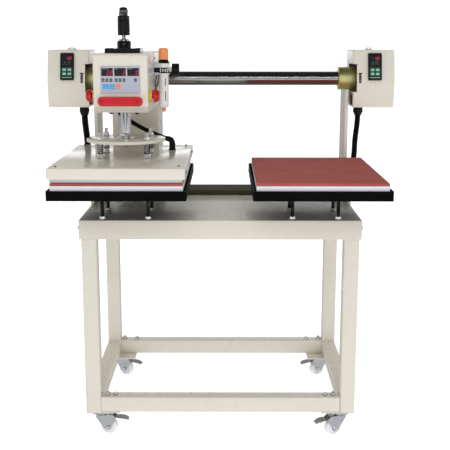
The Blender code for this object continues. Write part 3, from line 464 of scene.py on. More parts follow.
def surface(name, colour, rough=0.4, metal=0.0, tint=0.03, tint_scale=4.0, second=None, second_amount=0.5,
            bump=0.0, bump_scale=600.0, bump_depth=0.0002, rough_var=0.06, rough_scale=18.0, stretch=(1, 1, 1),
            coat=0.0, coat_rough=0.08, wear=None, wear_amount=0.5, wear_radius=0.0012, spec=0.5,
            speck=None, speck_scale=900.0, speck_amount=0.1, dust=0.0, transmission=0.0, ior=1.45, sheen=0.0,
            lines=None, aniso=0.0):
    """Finish from noise in the piece's own space: tint, roughness and relief vary, edges wear, dust settles on top."""
    m, nt, bsdf = new_material(name)
    L = nt.links.new
    co = nt.nodes.new("ShaderNodeTexCoord")
    mp = node(nt, "ShaderNodeMapping")
    mp.inputs["Scale"].default_value = stretch
    L(co.outputs["Object"], mp.inputs["Vector"])
    c = Vector(colour)
    n1 = node(nt, "ShaderNodeTexNoise", Scale=tint_scale, Detail=5.0, Roughness=0.6)
    L(mp.outputs["Vector"], n1.inputs["Vector"])
    mix = nt.nodes.new("ShaderNodeMix")
    mix.data_type = "RGBA"
    r1 = node(nt, "ShaderNodeMapRange")
    r1.inputs["From Min"].default_value, r1.inputs["From Max"].default_value = 0.3, 0.7
    L(n1.outputs["Fac"], r1.inputs["Value"])
    L(r1.outputs["Result"], mix.inputs["Factor"])
    other = Vector(second) * second_amount + c * (1 - second_amount) if second else c * (1 + tint)
    mix.inputs["A"].default_value = (*(c * (1 - tint)), 1)
    mix.inputs["B"].default_value = (*[min(1.0, x) for x in other], 1)
    shade = mix.outputs["Result"]
    if speck:
        ns = node(nt, "ShaderNodeTexNoise", Scale=speck_scale, Detail=2.0)
        L(co.outputs["Object"], ns.inputs["Vector"])
        rs = node(nt, "ShaderNodeMapRange")
        rs.inputs["From Min"].default_value, rs.inputs["From Max"].default_value = 0.55, 0.68
        rs.inputs["To Max"].default_value = speck_amount
        L(ns.outputs["Fac"], rs.inputs["Value"])
        ms = nt.nodes.new("ShaderNodeMix")
        ms.data_type = "RGBA"
        L(rs.outputs["Result"], ms.inputs["Factor"])
        L(shade, ms.inputs["A"])
        ms.inputs["B"].default_value = (*speck, 1)
        shade = ms.outputs["Result"]
    if dust:
        geo = nt.nodes.new("ShaderNodeNewGeometry")
        sep = nt.nodes.new("ShaderNodeSeparateXYZ")
        L(geo.outputs["Normal"], sep.inputs["Vector"])
        nd = node(nt, "ShaderNodeTexNoise", Scale=22.0, Detail=6.0, Roughness=0.7)
        L(co.outputs["Object"], nd.inputs["Vector"])
        up = node(nt, "ShaderNodeMapRange")
        up.inputs["From Min"].default_value, up.inputs["From Max"].default_value, up.inputs["To Max"].default_value = 0.3, 1.0, dust
        L(sep.outputs["Z"], up.inputs["Value"])
        md = nt.nodes.new("ShaderNodeMath")
        md.operation = "MULTIPLY"
        L(up.outputs["Result"], md.inputs[0])
        L(nd.outputs["Fac"], md.inputs[1])
        mx = nt.nodes.new("ShaderNodeMix")
        mx.data_type = "RGBA"
        L(md.outputs["Value"], mx.inputs["Factor"])
        L(shade, mx.inputs["A"])
        mx.inputs["B"].default_value = (0.62, 0.60, 0.56, 1)
        shade = mx.outputs["Result"]
    if wear:
        bev = nt.nodes.new("ShaderNodeBevel")
        bev.samples = 3
        bev.inputs["Radius"].default_value = wear_radius
        geo2 = nt.nodes.new("ShaderNodeNewGeometry")
        dot = nt.nodes.new("ShaderNodeVectorMath")
        dot.operation = "DOT_PRODUCT"
        L(bev.outputs["Normal"], dot.inputs[0])
        L(geo2.outputs["Normal"], dot.inputs[1])
        nw = node(nt, "ShaderNodeTexNoise", Scale=60.0, Detail=5.0, Roughness=0.7)
        L(co.outputs["Object"], nw.inputs["Vector"])
        rw = node(nt, "ShaderNodeMapRange")
        rw.inputs["From Min"].default_value, rw.inputs["From Max"].default_value = 0.985, 0.90
        L(dot.outputs["Value"], rw.inputs["Value"])
        rn = node(nt, "ShaderNodeMapRange")
        rn.inputs["From Min"].default_value, rn.inputs["From Max"].default_value, rn.inputs["To Max"].default_value = 0.42, 0.62, wear_amount
        L(nw.outputs["Fac"], rn.inputs["Value"])
        mw = nt.nodes.new("ShaderNodeMath")
        mw.operation = "MULTIPLY"
        L(rw.outputs["Result"], mw.inputs[0])
        L(rn.outputs["Result"], mw.inputs[1])
        mixw = nt.nodes.new("ShaderNodeMix")
        mixw.data_type = "RGBA"
        L(mw.outputs["Value"], mixw.inputs["Factor"])
        L(shade, mixw.inputs["A"])
        mixw.inputs["B"].default_value = (*wear, 1)
        shade = mixw.outputs["Result"]
    L(shade, bsdf.inputs["Base Color"])
    nr = node(nt, "ShaderNodeTexNoise", Scale=rough_scale, Detail=4.0)
    L(mp.outputs["Vector"], nr.inputs["Vector"])
    rr = node(nt, "ShaderNodeMapRange")
    rr.inputs["From Min"].default_value, rr.inputs["From Max"].default_value = 0.3, 0.7
    rr.inputs["To Min"].default_value, rr.inputs["To Max"].default_value = max(0.02, rough - rough_var), min(1.0, rough + rough_var)
    L(nr.outputs["Fac"], rr.inputs["Value"])
    L(rr.outputs["Result"], bsdf.inputs["Roughness"])
    if bump:
        nb = node(nt, "ShaderNodeTexNoise", Scale=bump_scale, Detail=3.0)
        L(mp.outputs["Vector"], nb.inputs["Vector"])
        height = nb.outputs["Fac"]
        if lines:
            # turning or grinding marks: noise stretched round the axis
            ml = node(nt, "ShaderNodeMapping")
            ml.inputs["Scale"].default_value = lines
            L(co.outputs["Object"], ml.inputs["Vector"])
            nl = node(nt, "ShaderNodeTexNoise", Scale=1.0, Detail=2.0)
            L(ml.outputs["Vector"], nl.inputs["Vector"])
            ad = nt.nodes.new("ShaderNodeMath")
            L(nb.outputs["Fac"], ad.inputs[0])
            L(nl.outputs["Fac"], ad.inputs[1])
            height = ad.outputs["Value"]
        bp = node(nt, "ShaderNodeBump", Strength=bump, Distance=bump_depth)
        L(height, bp.inputs["Height"])
        L(bp.outputs["Normal"], bsdf.inputs["Normal"])
    bsdf.inputs["Metallic"].default_value = metal
    bsdf.inputs["Specular IOR Level"].default_value = spec
    bsdf.inputs["Coat Weight"].default_value = coat
    bsdf.inputs["Coat Roughness"].default_value = coat_rough
    bsdf.inputs["IOR"].default_value = ior
    bsdf.inputs["Transmission Weight"].default_value = transmission
    bsdf.inputs["Sheen Weight"].default_value = sheen
    bsdf.inputs["Anisotropic"].default_value = aniso
    m.diffuse_color = (*colour, 1)
    return m


def glowing(name, colour, strength, base=(0.02, 0.0, 0.0)):
    """Lit segment of a display, a little uneven as a diffuser is."""
    m, nt, bsdf = new_material(name)
    co = nt.nodes.new("ShaderNodeTexCoord")
    n = node(nt, "ShaderNodeTexNoise", Scale=700.0, Detail=2.0)
    nt.links.new(co.outputs["Object"], n.inputs["Vector"])
    r = node(nt, "ShaderNodeMapRange")
    r.inputs["To Min"].default_value, r.inputs["To Max"].default_value = strength * 0.75, strength * 1.2
    nt.links.new(n.outputs["Fac"], r.inputs["Value"])
    bsdf.inputs["Base Color"].default_value = (*base, 1)
    bsdf.inputs["Emission Color"].default_value = (*colour, 1)
    nt.links.new(r.outputs["Result"], bsdf.inputs["Emission Strength"])
    bsdf.inputs["Roughness"].default_value = 0.25
    m.diffuse_color = (*colour, 1)
    return m


CREAM = (0.735, 0.700, 0.610)
M = {
    "cream": surface("ivory_powder_coat", CREAM, 0.30, tint=0.022, tint_scale=3.0, bump=0.10, bump_scale=750, bump_depth=0.00018,
                     rough_var=0.05, coat=0.25, coat_rough=0.12, wear=(0.80, 0.78, 0.72), wear_amount=0.55, dust=0.02),
    "cream_gloss": surface("ivory_enamel", CREAM, 0.21, tint=0.02, tint_scale=3.5, bump=0.07, bump_scale=420, bump_depth=0.00016,
                           rough_var=0.04, coat=0.40, coat_rough=0.05, wear=(0.80, 0.78, 0.72), wear_amount=0.5, dust=0.01),
    "black_paint": surface("black_enamel", (0.0022, 0.0018, 0.0022), 0.46, tint=0.25, bump=0.10, bump_scale=700, bump_depth=0.00015,
                           spec=0.07, wear=(0.06, 0.06, 0.06), wear_amount=0.6, dust=0.008),
    "black_anodised": surface("black_anodised", (0.006, 0.006, 0.007), 0.13, spec=0.28, tint=0.2, bump=0.06, bump_scale=900,
                              bump_depth=0.0001, wear=(0.30, 0.30, 0.31), wear_amount=0.6),
    "black_plastic": surface("moulded_black", (0.007, 0.007, 0.008), 0.34, spec=0.25, tint=0.2, bump=0.22, bump_scale=1100, bump_depth=0.00012,
                             rough_var=0.08, dust=0.015),
    "conduit": surface("conduit_nylon", (0.005, 0.004, 0.004), 0.34, spec=0.25, tint=0.25, bump=0.10, bump_scale=900, bump_depth=0.0001, dust=0.01),
    "rubber": surface("black_rubber", (0.016, 0.016, 0.016), 0.62, tint=0.2, bump=0.3, bump_scale=900, bump_depth=0.00015),
    "hard_chrome": surface("hard_chrome", (0.66, 0.67, 0.70), 0.07, metal=1.0, tint=0.02, rough_var=0.03, rough_scale=60, bump=0.05,
                           bump_scale=400, bump_depth=0.00004, lines=(0.5, 0.5, 2600)),
    "bright_nickel": surface("bright_nickel", (0.86, 0.86, 0.87), 0.16, metal=1.0, tint=0.05, tint_scale=90, rough_var=0.06,
                             rough_scale=200, bump=0.10, bump_scale=700, bump_depth=0.00008),
    "shaft": surface("ground_shaft", (0.36, 0.35, 0.35), 0.13, metal=1.0, tint=0.06, tint_scale=7, rough_var=0.02, rough_scale=12, bump=0.02,
                     bump_scale=60, bump_depth=0.00002),
    "olive_zinc": surface("yellow_passivate", (0.90, 0.93, 0.42), 0.50, metal=1.0, tint=0.08, tint_scale=14, second=(0.76, 0.72, 0.34),
                          second_amount=0.7, rough_var=0.05, bump=0.05, bump_scale=300, bump_depth=0.00006),
    # guide bar: the collars' yellow zinc with its colour darkened as painted shade, for the shade it sits in under the
    # platens
    "guide_zinc_painted_shade": surface("olive_guide_bar_painted_shade", (0.075, 0.071, 0.036), 0.62, metal=0.0, tint=0.15, tint_scale=10, second=(0.055, 0.054, 0.032),
                          second_amount=0.8, rough_var=0.08, bump=0.16, bump_scale=500, bump_depth=0.00015, spec=0.12, wear=(0.16, 0.155, 0.08)),
    "zinc": surface("blue_zinc_plate", (0.78, 0.80, 0.84), 0.27, metal=1.0, tint=0.08, tint_scale=45, rough_var=0.09, rough_scale=60,
                    bump=0.14, bump_scale=500, bump_depth=0.00012, second=(0.52, 0.56, 0.66), second_amount=0.6),
    "pedal_steel": surface("pedal_zinc", (0.30, 0.31, 0.33), 0.34, metal=1.0, tint=0.1, tint_scale=40, rough_var=0.1, bump=0.2,
                           bump_scale=500, bump_depth=0.00015, wear=(0.55, 0.55, 0.56)),
    "white_plate": surface("white_coated_plate", (0.84, 0.83, 0.89), 0.42, tint=0.03, bump=0.10, bump_scale=800, bump_depth=0.0001, dust=0.03),
    "aluminium": surface("machined_aluminium", (0.62, 0.62, 0.62), 0.32, metal=1.0, tint=0.04, tint_scale=20, bump=0.12,
                         bump_scale=500, bump_depth=0.00008, lines=(3.0, 1800, 3.0)),
    "silicone": surface("silicone_sponge", (0.42, 0.098, 0.085), 0.72, tint=0.07, tint_scale=7, second=(0.46, 0.125, 0.108), second_amount=0.8,
                        bump=0.55, bump_scale=620, bump_depth=0.00035, rough_var=0.08, speck=(0.20, 0.045, 0.04), speck_scale=1100,
                        speck_amount=0.35, dust=0.03, spec=0.10),
    "panel_film": surface("membrane_film", (0.44, 0.47, 0.55), 0.36, tint=0.02, bump=0.12, bump_scale=1500, bump_depth=0.00008, coat=0.2),
    "window": surface("display_window", (0.012, 0.010, 0.012), 0.08, tint=0.1, rough_var=0.02, bump=0.02, bump_scale=200, coat=0.25, spec=0.3),
    "window_grey": surface("meter_window", (0.018, 0.019, 0.020), 0.12, tint=0.1, rough_var=0.03, bump=0.02, bump_scale=200, coat=0.4),
    "segment_off": surface("segment_unlit", (0.018, 0.006, 0.007), 0.3, tint=0.1),
    "key_dark": surface("key_grey", (0.034, 0.035, 0.039), 0.38, tint=0.05, bump=0.15, bump_scale=1400, bump_depth=0.00008),
    "key_mark": surface("key_print", (0.40, 0.40, 0.42), 0.42, tint=0.03),
    "key_blue": surface("key_blue", (0.035, 0.36, 0.80), 0.34, tint=0.04, bump=0.12, bump_scale=1400, bump_depth=0.00008),
    "key_orange": surface("key_orange", (0.80, 0.235, 0.075), 0.34, tint=0.04, bump=0.12, bump_scale=1400, bump_depth=0.00008),
    "meter_green": surface("meter_keypad", (0.010, 0.085, 0.060), 0.38, tint=0.06, bump=0.12, bump_scale=1400, bump_depth=0.00008),
    "meter_key": surface("meter_key", (0.33, 0.66, 0.50), 0.38, tint=0.05, bump=0.12, bump_scale=1400, bump_depth=0.00008),
    "red": surface("glossy_red", (0.56, 0.008, 0.017), 0.16, spec=0.35, tint=0.04, tint_scale=8, bump=0.04, bump_scale=300, rough_var=0.04, coat=0.3,
                   wear=(0.68, 0.05, 0.06), wear_amount=0.4),
    "estop_red": surface("estop_red", (0.50, 0.008, 0.014), 0.24, tint=0.05, bump=0.08, bump_scale=900, bump_depth=0.0001, coat=0.25),
    "yellow": surface("estop_yellow", (0.86, 0.50, 0.050), 0.32, tint=0.04, bump=0.10, bump_scale=900, bump_depth=0.0001),
    "orange": surface("knob_orange", (0.92, 0.33, 0.125), 0.34, tint=0.04, bump=0.16, bump_scale=1000, bump_depth=0.00012),
    "white_plastic": surface("bowl_white", (0.90, 0.895, 0.87), 0.24, tint=0.02, bump=0.05, bump_scale=500, coat=0.3),
    "grey_cast": surface("die_cast_grey", (0.80, 0.80, 0.79), 0.36, tint=0.03, bump=0.22, bump_scale=520, bump_depth=0.00022, wear=(0.72, 0.72, 0.72)),
    "bronze": surface("sintered_bronze", (0.42, 0.24, 0.085), 0.38, metal=1.0, tint=0.1, tint_scale=60, bump=0.3, bump_scale=900, bump_depth=0.00015),
    "nylon": surface("white_nylon", (0.92, 0.93, 0.96), 0.40, tint=0.03, tint_scale=30, bump=0.18, bump_scale=700, bump_depth=0.00015, dust=0.06),
    "spring": surface("spring_steel", (0.045, 0.045, 0.048), 0.30, metal=0.9, tint=0.15, bump=0.1, bump_scale=800, bump_depth=0.0001),
    "dark_nickel": surface("blackened_nickel", (0.25, 0.25, 0.26), 0.20, metal=1.0, tint=0.1, tint_scale=60, rough_var=0.06, bump=0.1, bump_scale=700,
                           bump_depth=0.00008),
    "black_oxide": surface("black_oxide", (0.022, 0.022, 0.024), 0.34, metal=0.7, tint=0.2, bump=0.15, bump_scale=800, bump_depth=0.0001,
                           wear=(0.22, 0.22, 0.22), wear_amount=0.6),
    "tube": surface("air_tube", (0.10, 0.10, 0.085), 0.20, tint=0.1, coat=0.3),
    "white_print": surface("white_print", (0.72, 0.72, 0.72), 0.4, tint=0.02),
    "terminal": surface("terminal_block", (0.42, 0.30, 0.20), 0.45, tint=0.06, bump=0.1),
    "seg_red": glowing("segment_red", (1.0, 0.05, 0.13), 0.62),
    "seg_green": glowing("segment_green", (0.45, 0.80, 0.40), 0.16, (0.0, 0.02, 0.01)),
}


# ============================================================ finishing pieces
def dress(ob, name, body, mat, bevel=0.0, seg=2, sharp=34, stands_for=(), angle=32):
    me = ob.data
    me.transform(Matrix.Translation((0, DATUM_Y, 0)))
    bm = bmesh.new()
    bm.from_mesh(me)
    bmesh.ops.remove_doubles(bm, verts=bm.verts, dist=1e-6)
    bmesh.ops.dissolve_degenerate(bm, edges=bm.edges, dist=1e-6)
    bm.to_mesh(me)
    bm.free()
    me.name = name
    ob.name = name
    me.materials.clear()
    me.materials.append(M[mat])
    me.shade_smooth()
    me.set_sharp_from_angle(angle=math.radians(sharp))
    if bevel:
        b = ob.modifiers.new("edge", "BEVEL")
        b.width = bevel
        b.segments = seg
        b.limit_method = "ANGLE"
        b.angle_limit = math.radians(angle)
        b.harden_normals = True
        b.use_clamp_overlap = True
    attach(ob, body)
    if stands_for:
        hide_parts(*([stands_for] if isinstance(stands_for, str) else stands_for))
    return ob


def keep(name, mat, bevel=0.0, seg=2, smooth=True):
    """A CAD node whose shape is right: it stays, welded, with eased edges and its finish."""
    ob = NODES[name]
    me = ob.data
    me.materials.clear()
    me.materials.append(M[mat])
    for attribute in ("custom_normal", "sharp_edge", "sharp_face"):
        a = me.attributes.get(attribute)
        if a:
            me.attributes.remove(a)
    me.polygons.foreach_set("use_smooth", [smooth] * len(me.polygons))
    w = ob.modifiers.new("weld", "WELD")
    w.merge_threshold = 2e-6
    if bevel:
        b = ob.modifiers.new("edge", "BEVEL")
        b.width = bevel
        b.segments = seg
        b.limit_method = "ANGLE"
        b.angle_limit = math.radians(30)
        b.harden_normals = True
    else:
        e = ob.modifiers.new("split", "EDGE_SPLIT")
        e.split_angle = math.radians(32)
    return ob


def cad_box(name):
    """A node's box, measured from the middle of the table as every dimension below is."""
    lo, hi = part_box(name)
    d = Vector((0, DATUM_Y, 0))
    return lo - d, hi - d


# =================================================== CAD dimensions used below
GAP, SHEET = 0.0003, 0.002
WORLD_LOW, WORLD_HIGH = 0.77, 0.98
table_lo, table_hi = cad_box("table_top")
TABLE_Z = table_hi.z
shaft_lo, shaft_hi = cad_box("slide_shaft")
SHAFT_Y, SHAFT_Z, SHAFT_R = 0.129, (shaft_lo.z + shaft_hi.z) / 2, 0.025
HX = -0.311
PLATEN_Y = -0.234
STATION_X = 0.311
TRAY_Z0, TRAY_Z1 = cad_box("platen_tray_left")[0].z, cad_box("platen_tray_left")[1].z
HEAD_HALF, HEAD_FRONT_Y, HEAD_SPLIT_Y, HEAD_BACK_Y, HEAD_Z0, HEAD_Z1 = 0.0855, -0.360, -0.130, 0.290, 1.110, 1.2945
COVER_Z0, COVER_Z1 = 0.9280, 0.961
DISC_R, DISC_Z0, DISC_Z1 = 0.129, 1.0095, 1.0195
ROD_R, THIN_R, PISTON_R = 0.0168, 0.008, 0.0475
ARM_Z0, ARM_T = 1.1125, 0.018
SLEEVE_R, SLEEVE_Z0, SLEEVE_Z1, TOP_Z = 0.0198, 1.3500, 1.4110, 1.4385
REG_X, REG_Y, VALVE_Z = -0.192, -0.125, 1.2385
ESTOP_Y, ESTOP_Z = -0.300, 1.1615
COLUMN_X, COLUMN_T = 0.450, 0.012
COLLAR_R, COLLAR_X0, COLLAR_X1 = 0.041, 0.426, 0.498
SADDLE_Z, NOTCH_X = SHAFT_Z - 0.0375, 0.4845
BEAM_Y0 = 0.157
STUD_PITCH = 0.150

# ===================================================================== stand
keep("table_top", "cream", 0.0006)
for tag in ("left", "right"):
    keep("end_frame_" + tag, "cream", 0.0007)
for tag in ("front", "rear"):
    keep("lower_beam_" + tag, "cream", 0.0005)

# welds where the side beams meet the legs, and where the corner plates meet the tubes
beads = []
for s in (-1, 1):
    for y0, y1 in ((-0.2645, 0.2705),):
        for z in (0.1415, 0.7075):
            for y, d in ((y0, 1), (y1, -1)):
                pts, radii = [], []
                for i in range(40):
                    t = i / 39
                    pts.append((s * (0.4096 + 0.046 * t), y + 0.0002 * d, z + (0.0006 if z < 0.5 else -0.0006)))
                    radii.append(0.0019 + 0.0004 * math.sin(i * 1.35) - (0.0009 if i in (0, 39) else 0))
                beads.append(swept(pts, radii, 10))
            if z < 0.5:
                for y, d in ((y0, 1), (y1, -1)):
                    pts, radii = [], []
                    for i in range(36):
                        t = i / 35
                        pts.append((s * 0.4078, y + 0.0002 * d, 0.092 + 0.047 * t))
                        radii.append(0.0016 + 0.0004 * math.sin(i * 1.35))
                    beads.append(swept(pts, radii, 10))
dress(join(*beads), "frame_weld_beads", "frame", "cream")

# cross-beam fasteners: a bolt and a nut on its stud beside each leg, front and rear
places_b, places_n = [], []
for sx in (-1, 1):
    for y, xb, xn in ((-0.2905, 0.3595, 0.3865), (0.2965, 0.3440, 0.3930)):
        places_b.append(to((sx * xb, y, 0.1414), (0, 0, 1), 17 * sx + 9))
        places_n.append(to((sx * xn, y, 0.1414), (0, 0, 1), 31 * sx))
dress(copies(hex_bolt(0.0100), places_b), "cross_beam_bolts", "frame", "bright_nickel", 0.00025)
dress(copies(nut_on_stud(0.0100, 0.45), places_n), "cross_beam_nuts", "frame", "bright_nickel", 0.00025)

# screws that hold the table sheet to the end frames, on the apron's ends
places = []
for sx in (-1, 1):
    for y in (-0.290, 0.296):
        places.append(to((sx * (table_hi.x - 0.0002), y, 0.728), (sx, 0, 0), 20))
dress(copies(hex_bolt(0.0080), places), "apron_bolts", "frame", "bright_nickel", 0.0002)

# ==================================================================== castors
WHEEL_R, WHEEL_W, TRAIL, PIVOT_X, PIVOT_Z = 0.028, 0.022, 0.025, 0.0445, 0.0575
CASTORS = {"front_left": (-0.410, -0.285, -4.0), "front_right": (0.410, -0.285, 204.0),
           "rear_left": (-0.410, 0.278, -22.0), "rear_right": (0.410, 0.278, 200.0)}


def castor(tag):
    cx, cy, a = CASTORS[tag]
    place = Matrix.Translation((cx, cy, 0)) @ Matrix.Rotation(math.radians(a), 4, "Z")
    at = (cx, cy, 0)
    # mounting plate with rounded corners, ball race and king pin
    plate = box(cx - 0.031, cx + 0.031, cy - 0.029, cy + 0.031, 0.0817, 0.0842, 0.006, 6, along("z"))
    cup = turned([(0.0060, 0.0742), (0.0195, 0.0736), (0.0228, 0.0745), (0.0240, 0.0764), (0.0240, 0.0780), (0.0222, 0.0800), (0.0190, 0.0812), (0.0170, 0.0825)], at, "z", 64)
    dress(add(plate, cup), "castor_plate_" + tag, "frame", "zinc", 0.0004, stands_for="caster_plate_" + tag)
    screws = [to((cx + ix * 0.0235, cy + 0.001 + iy * 0.0225, 0.0817), (0, 0, -1), 13) for ix in (-1, 1) for iy in (-1, 1)]
    dress(copies(hex_bolt(0.0052), screws), "castor_bolts_" + tag, "frame", "bright_nickel", 0.0001)
    dress(turned([(0.0052, 0.0645), (0.0075, 0.0640), (0.0080, 0.0646), (0.0080, 0.0662), (0.0075, 0.0668), (0.0050, 0.0670), (0.0050, 0.0745)], at, "z", 40),
          "castor_king_pin_" + tag, "frame", "zinc")

    # fork: pressed crown and two cheeks
    body = "fork_" + tag
    crown = turned([(0.0056, 0.0695), (0.0215, 0.0695), (0.0225, 0.0702), (0.0225, 0.0716), (0.0212, 0.0728), (0.0150, 0.0731), (0.0056, 0.0731)], (0, 0, 0), "z", 64, closed=True)
    outline = ([(-0.0150, 0.0712), (-0.0180, 0.0690), (-0.0186, 0.0640)] + [(-0.0010, 0.0390), (0.0125, 0.0215)] + arc(TRAIL, WHEEL_R, 0.0108, 225, 372, 18)
               + [(0.0420, 0.0420), (0.0500, 0.0535)] + arc(0.0465, 0.0605, 0.0050, -20, 70, 6) + [(0.0400, 0.0712)])
    cheeks = []
    for s in (1, -1):
        c = prism(outline, "y", s * 0.0142, s * 0.0166)
        cheeks.append(c)
    yoke = join(*cheeks)
    for part in (prism([(-0.0140, 0.0705), (-0.0140, 0.0728), (0.0400, 0.0722), (0.0400, 0.0703)], "y", -0.0160, 0.0160),):
        cut(part, rod(0.0056, 0.06, 0.08, n=32))
        add(yoke, part)
    add(yoke, crown)
    dress(move(yoke, place), "castor_fork_" + tag, body, "zinc", 0.0004, stands_for="caster_fork_" + tag)
    nutm = nut_on_stud(0.0068, 0.10)
    nutm = copies(nutm, [to((TRAIL, 0.0166, WHEEL_R), (0, 1, 0), 10), to((TRAIL, -0.0166, WHEEL_R), (0, -1, 0), 40)])
    axle = join(nutm, rod(0.0040, -0.0165, 0.0165, (TRAIL, 0, WHEEL_R), "y", 32), rod(0.0021, -0.0175, 0.0175, (PIVOT_X, 0, PIVOT_Z), "y", 24, 0.0004))
    dress(move(axle, place), "castor_axle_" + tag, body, "bright_nickel", 0.0001)

    # wheel with a ribbed web on each side
    h = WHEEL_W / 2
    wheel = turned([(0.0046, -h + 0.0004), (0.0092, -h + 0.0004), (0.0100, -h + 0.0012), (0.0104, -h + 0.0052), (0.0205, -h + 0.0052), (0.0215, -h + 0.0014),
                    (0.0225, -h + 0.0006), (0.0250, -h + 0.0006), (0.0266, -h + 0.0014), (0.0277, -h + 0.0032), (WHEEL_R, -h + 0.0060),
                    (WHEEL_R, h - 0.0060), (0.0277, h - 0.0032), (0.0266, h - 0.0014), (0.0250, h - 0.0006), (0.0225, h - 0.0006), (0.0215, h - 0.0014),
                    (0.0205, h - 0.0052), (0.0104, h - 0.0052), (0.0100, h - 0.0012), (0.0092, h - 0.0004), (0.0046, h - 0.0004)],
                   (0, 0, 0), "y", 96, closed=True)
    ribs = []
    for k in range(8):
        rib = box(0.0095, 0.0214, -h + 0.0022, h - 0.0022, -0.0008, 0.0008)
        ribs.append(turn(rib, 45 * k + 11, "Y"))
    wheel = join(wheel, *ribs)
    shift(wheel, (TRAIL, 0, WHEEL_R))
    dress(move(wheel, place), "castor_wheel_" + tag, "wheel_" + tag, "nylon", 0.0002, stands_for="caster_wheel_" + tag)

    # brake pedal: pressed steel with a rolled toe, two flanges and grip ribs
    px, pz = PIVOT_X, PIVOT_Z
    eye = ring(0.0027, 0.0044, -0.0125, 0.0125, (px, 0, pz), "y", 40, 0.0004)
    top_line = [(px + 0.0025, pz + 0.0036), (0.0520, pz + 0.0060), (0.0600, pz + 0.0064), (0.0760, pz + 0.0046), (0.0890, pz + 0.0016), (0.0925, pz - 0.0008), (0.0940, pz - 0.0040)]
    low_line = [(0.0922, pz - 0.0046), (0.0908, pz - 0.0020), (0.0880, pz - 0.0002), (0.0760, pz + 0.0026), (0.0600, pz + 0.0044), (0.0520, pz + 0.0040), (px + 0.0025, pz + 0.0016)]
    tongue = prism(top_line + low_line, "y", -0.0120, 0.0120)
    foot = prism([(0.0565, pz + 0.0063), (0.0600, pz + 0.0064), (0.0760, pz + 0.0046), (0.0850, pz + 0.0026), (0.0850, pz + 0.0006), (0.0760, pz + 0.0026), (0.0600, pz + 0.0044), (0.0565, pz + 0.0043)],
                 "y", -0.0160, 0.0160)
    pedal = add(eye, tongue, foot)
    ribs = [turn(box(0.0655 + 0.005 * k, 0.0672 + 0.005 * k, -0.0105, 0.0105, pz + 0.0030, pz + 0.0066 - 0.0009 * k, 0.0004, 2), 0.0) for k in range(4)]
    pedal = join(pedal, *ribs)
    dress(move(pedal, place), "castor_pedal_" + tag, "brake_" + tag, "pedal_steel", 0.0003, stands_for="caster_brake_" + tag)


for tag in CASTORS:
    castor(tag)

# ===================================================================== gantry
# the guide beam's finish is painted shade: its yellow zinc darkened rather than lit darker
keep("guide_beam", "guide_zinc_painted_shade", 0.0005)
places = [to((x, y, TABLE_Z + 0.0181), (0, 0, 1), 11) for x in (-0.405, 0.405) for y in (0.190, 0.267)]
places += [to((s * 0.4621, y, TABLE_Z + 0.0095), (s, 0, 0), 25) for s in (-1, 1) for y in (0.190, 0.267)]
dress(copies(socket_screw(0.0080), places), "guide_beam_screws", "frame", "black_oxide", 0.0002)

z0 = TABLE_Z + GAP
half_w, rear_w = 0.0405, 0.098    # from the shaft to the front and rear edges of a column
outline = ([(-0.050, z0), (-0.050, z0 + 0.0125)] + arc(-0.034, z0 + 0.0125, 0.016, 180, 90, 12)
           + arc(SHAFT_Y - half_w - 0.030, z0 + 0.0585, 0.030, 270, 360, 16)
           + [(SHAFT_Y - half_w, SADDLE_Z), (SHAFT_Y + rear_w - 0.006, SADDLE_Z), (SHAFT_Y + rear_w, SADDLE_Z - 0.006)]
           + arc(SHAFT_Y + rear_w + 0.030, z0 + 0.0585, 0.030, 180, 270, 16)
           + arc(0.284, z0 + 0.0125, 0.016, 90, 0, 12) + [(0.300, z0)])
plate = prism(outline, "x", COLUMN_X, COLUMN_X + COLUMN_T)
cut(plate, rod(COLLAR_R + 0.0004, COLUMN_X - 0.01, COLUMN_X + COLUMN_T + 0.01, (0, SHAFT_Y, SHAFT_Z), "x", 128))
other = mirrored(plate)
dress(plate, "gantry_column_right", "frame", "cream", 0.0007, stands_for="column_right")
dress(other, "gantry_column_left", "frame", "cream", 0.0007, stands_for="column_left")

r = SHAFT_R
e = shaft_hi.x
dress(turned([(0.0022, -e + 0.004), (0.0045, -e), (r - 0.0015, -e), (r, -e + 0.0015), (r, e - 0.0015), (r - 0.0015, e), (0.0045, e), (0.0022, e - 0.004)],
             (0, SHAFT_Y, SHAFT_Z), "x", 160), "polished_slide_shaft", "frame", "shaft", stands_for="slide_shaft")

r_in = SHAFT_R + 0.0004
prof = [(r_in, COLLAR_X0 + 0.0006), (r_in + 0.0006, COLLAR_X0), (COLLAR_R - 0.0010, COLLAR_X0), (COLLAR_R - 0.0003, COLLAR_X0 + 0.0003), (COLLAR_R, COLLAR_X0 + 0.0010),
        (COLLAR_R, COLLAR_X1 - 0.0010), (COLLAR_R - 0.0003, COLLAR_X1 - 0.0003), (COLLAR_R - 0.0010, COLLAR_X1), (r_in + 0.0006, COLLAR_X1), (r_in, COLLAR_X1 - 0.0006)]
collar = turned(prof, (0, SHAFT_Y, SHAFT_Z), "x", 128, closed=True)
# clamp slot at the rear with its counterbored screw
cut(collar, box(COLLAR_X0 - 0.001, 0.4440, SHAFT_Y + 0.020, SHAFT_Y + 0.050, SHAFT_Z - 0.0010, SHAFT_Z + 0.0010),
    rod(0.0052, 0.012, 0.06, (0.4350, SHAFT_Y + 0.0325, SHAFT_Z), "z", 32))
other = mirrored(collar)
dress(collar, "clamp_collar_right", "frame", "olive_zinc", stands_for="shaft_collar_right")
dress(other, "clamp_collar_left", "frame", "olive_zinc", stands_for="shaft_collar_left")
dress(copies(socket_screw(0.0060), [to((s * 0.4350, SHAFT_Y + 0.0325, SHAFT_Z + 0.0100), (0, 0, 1), 5) for s in (-1, 1)]),
      "collar_clamp_screws", "frame", "black_oxide", 0.0001)
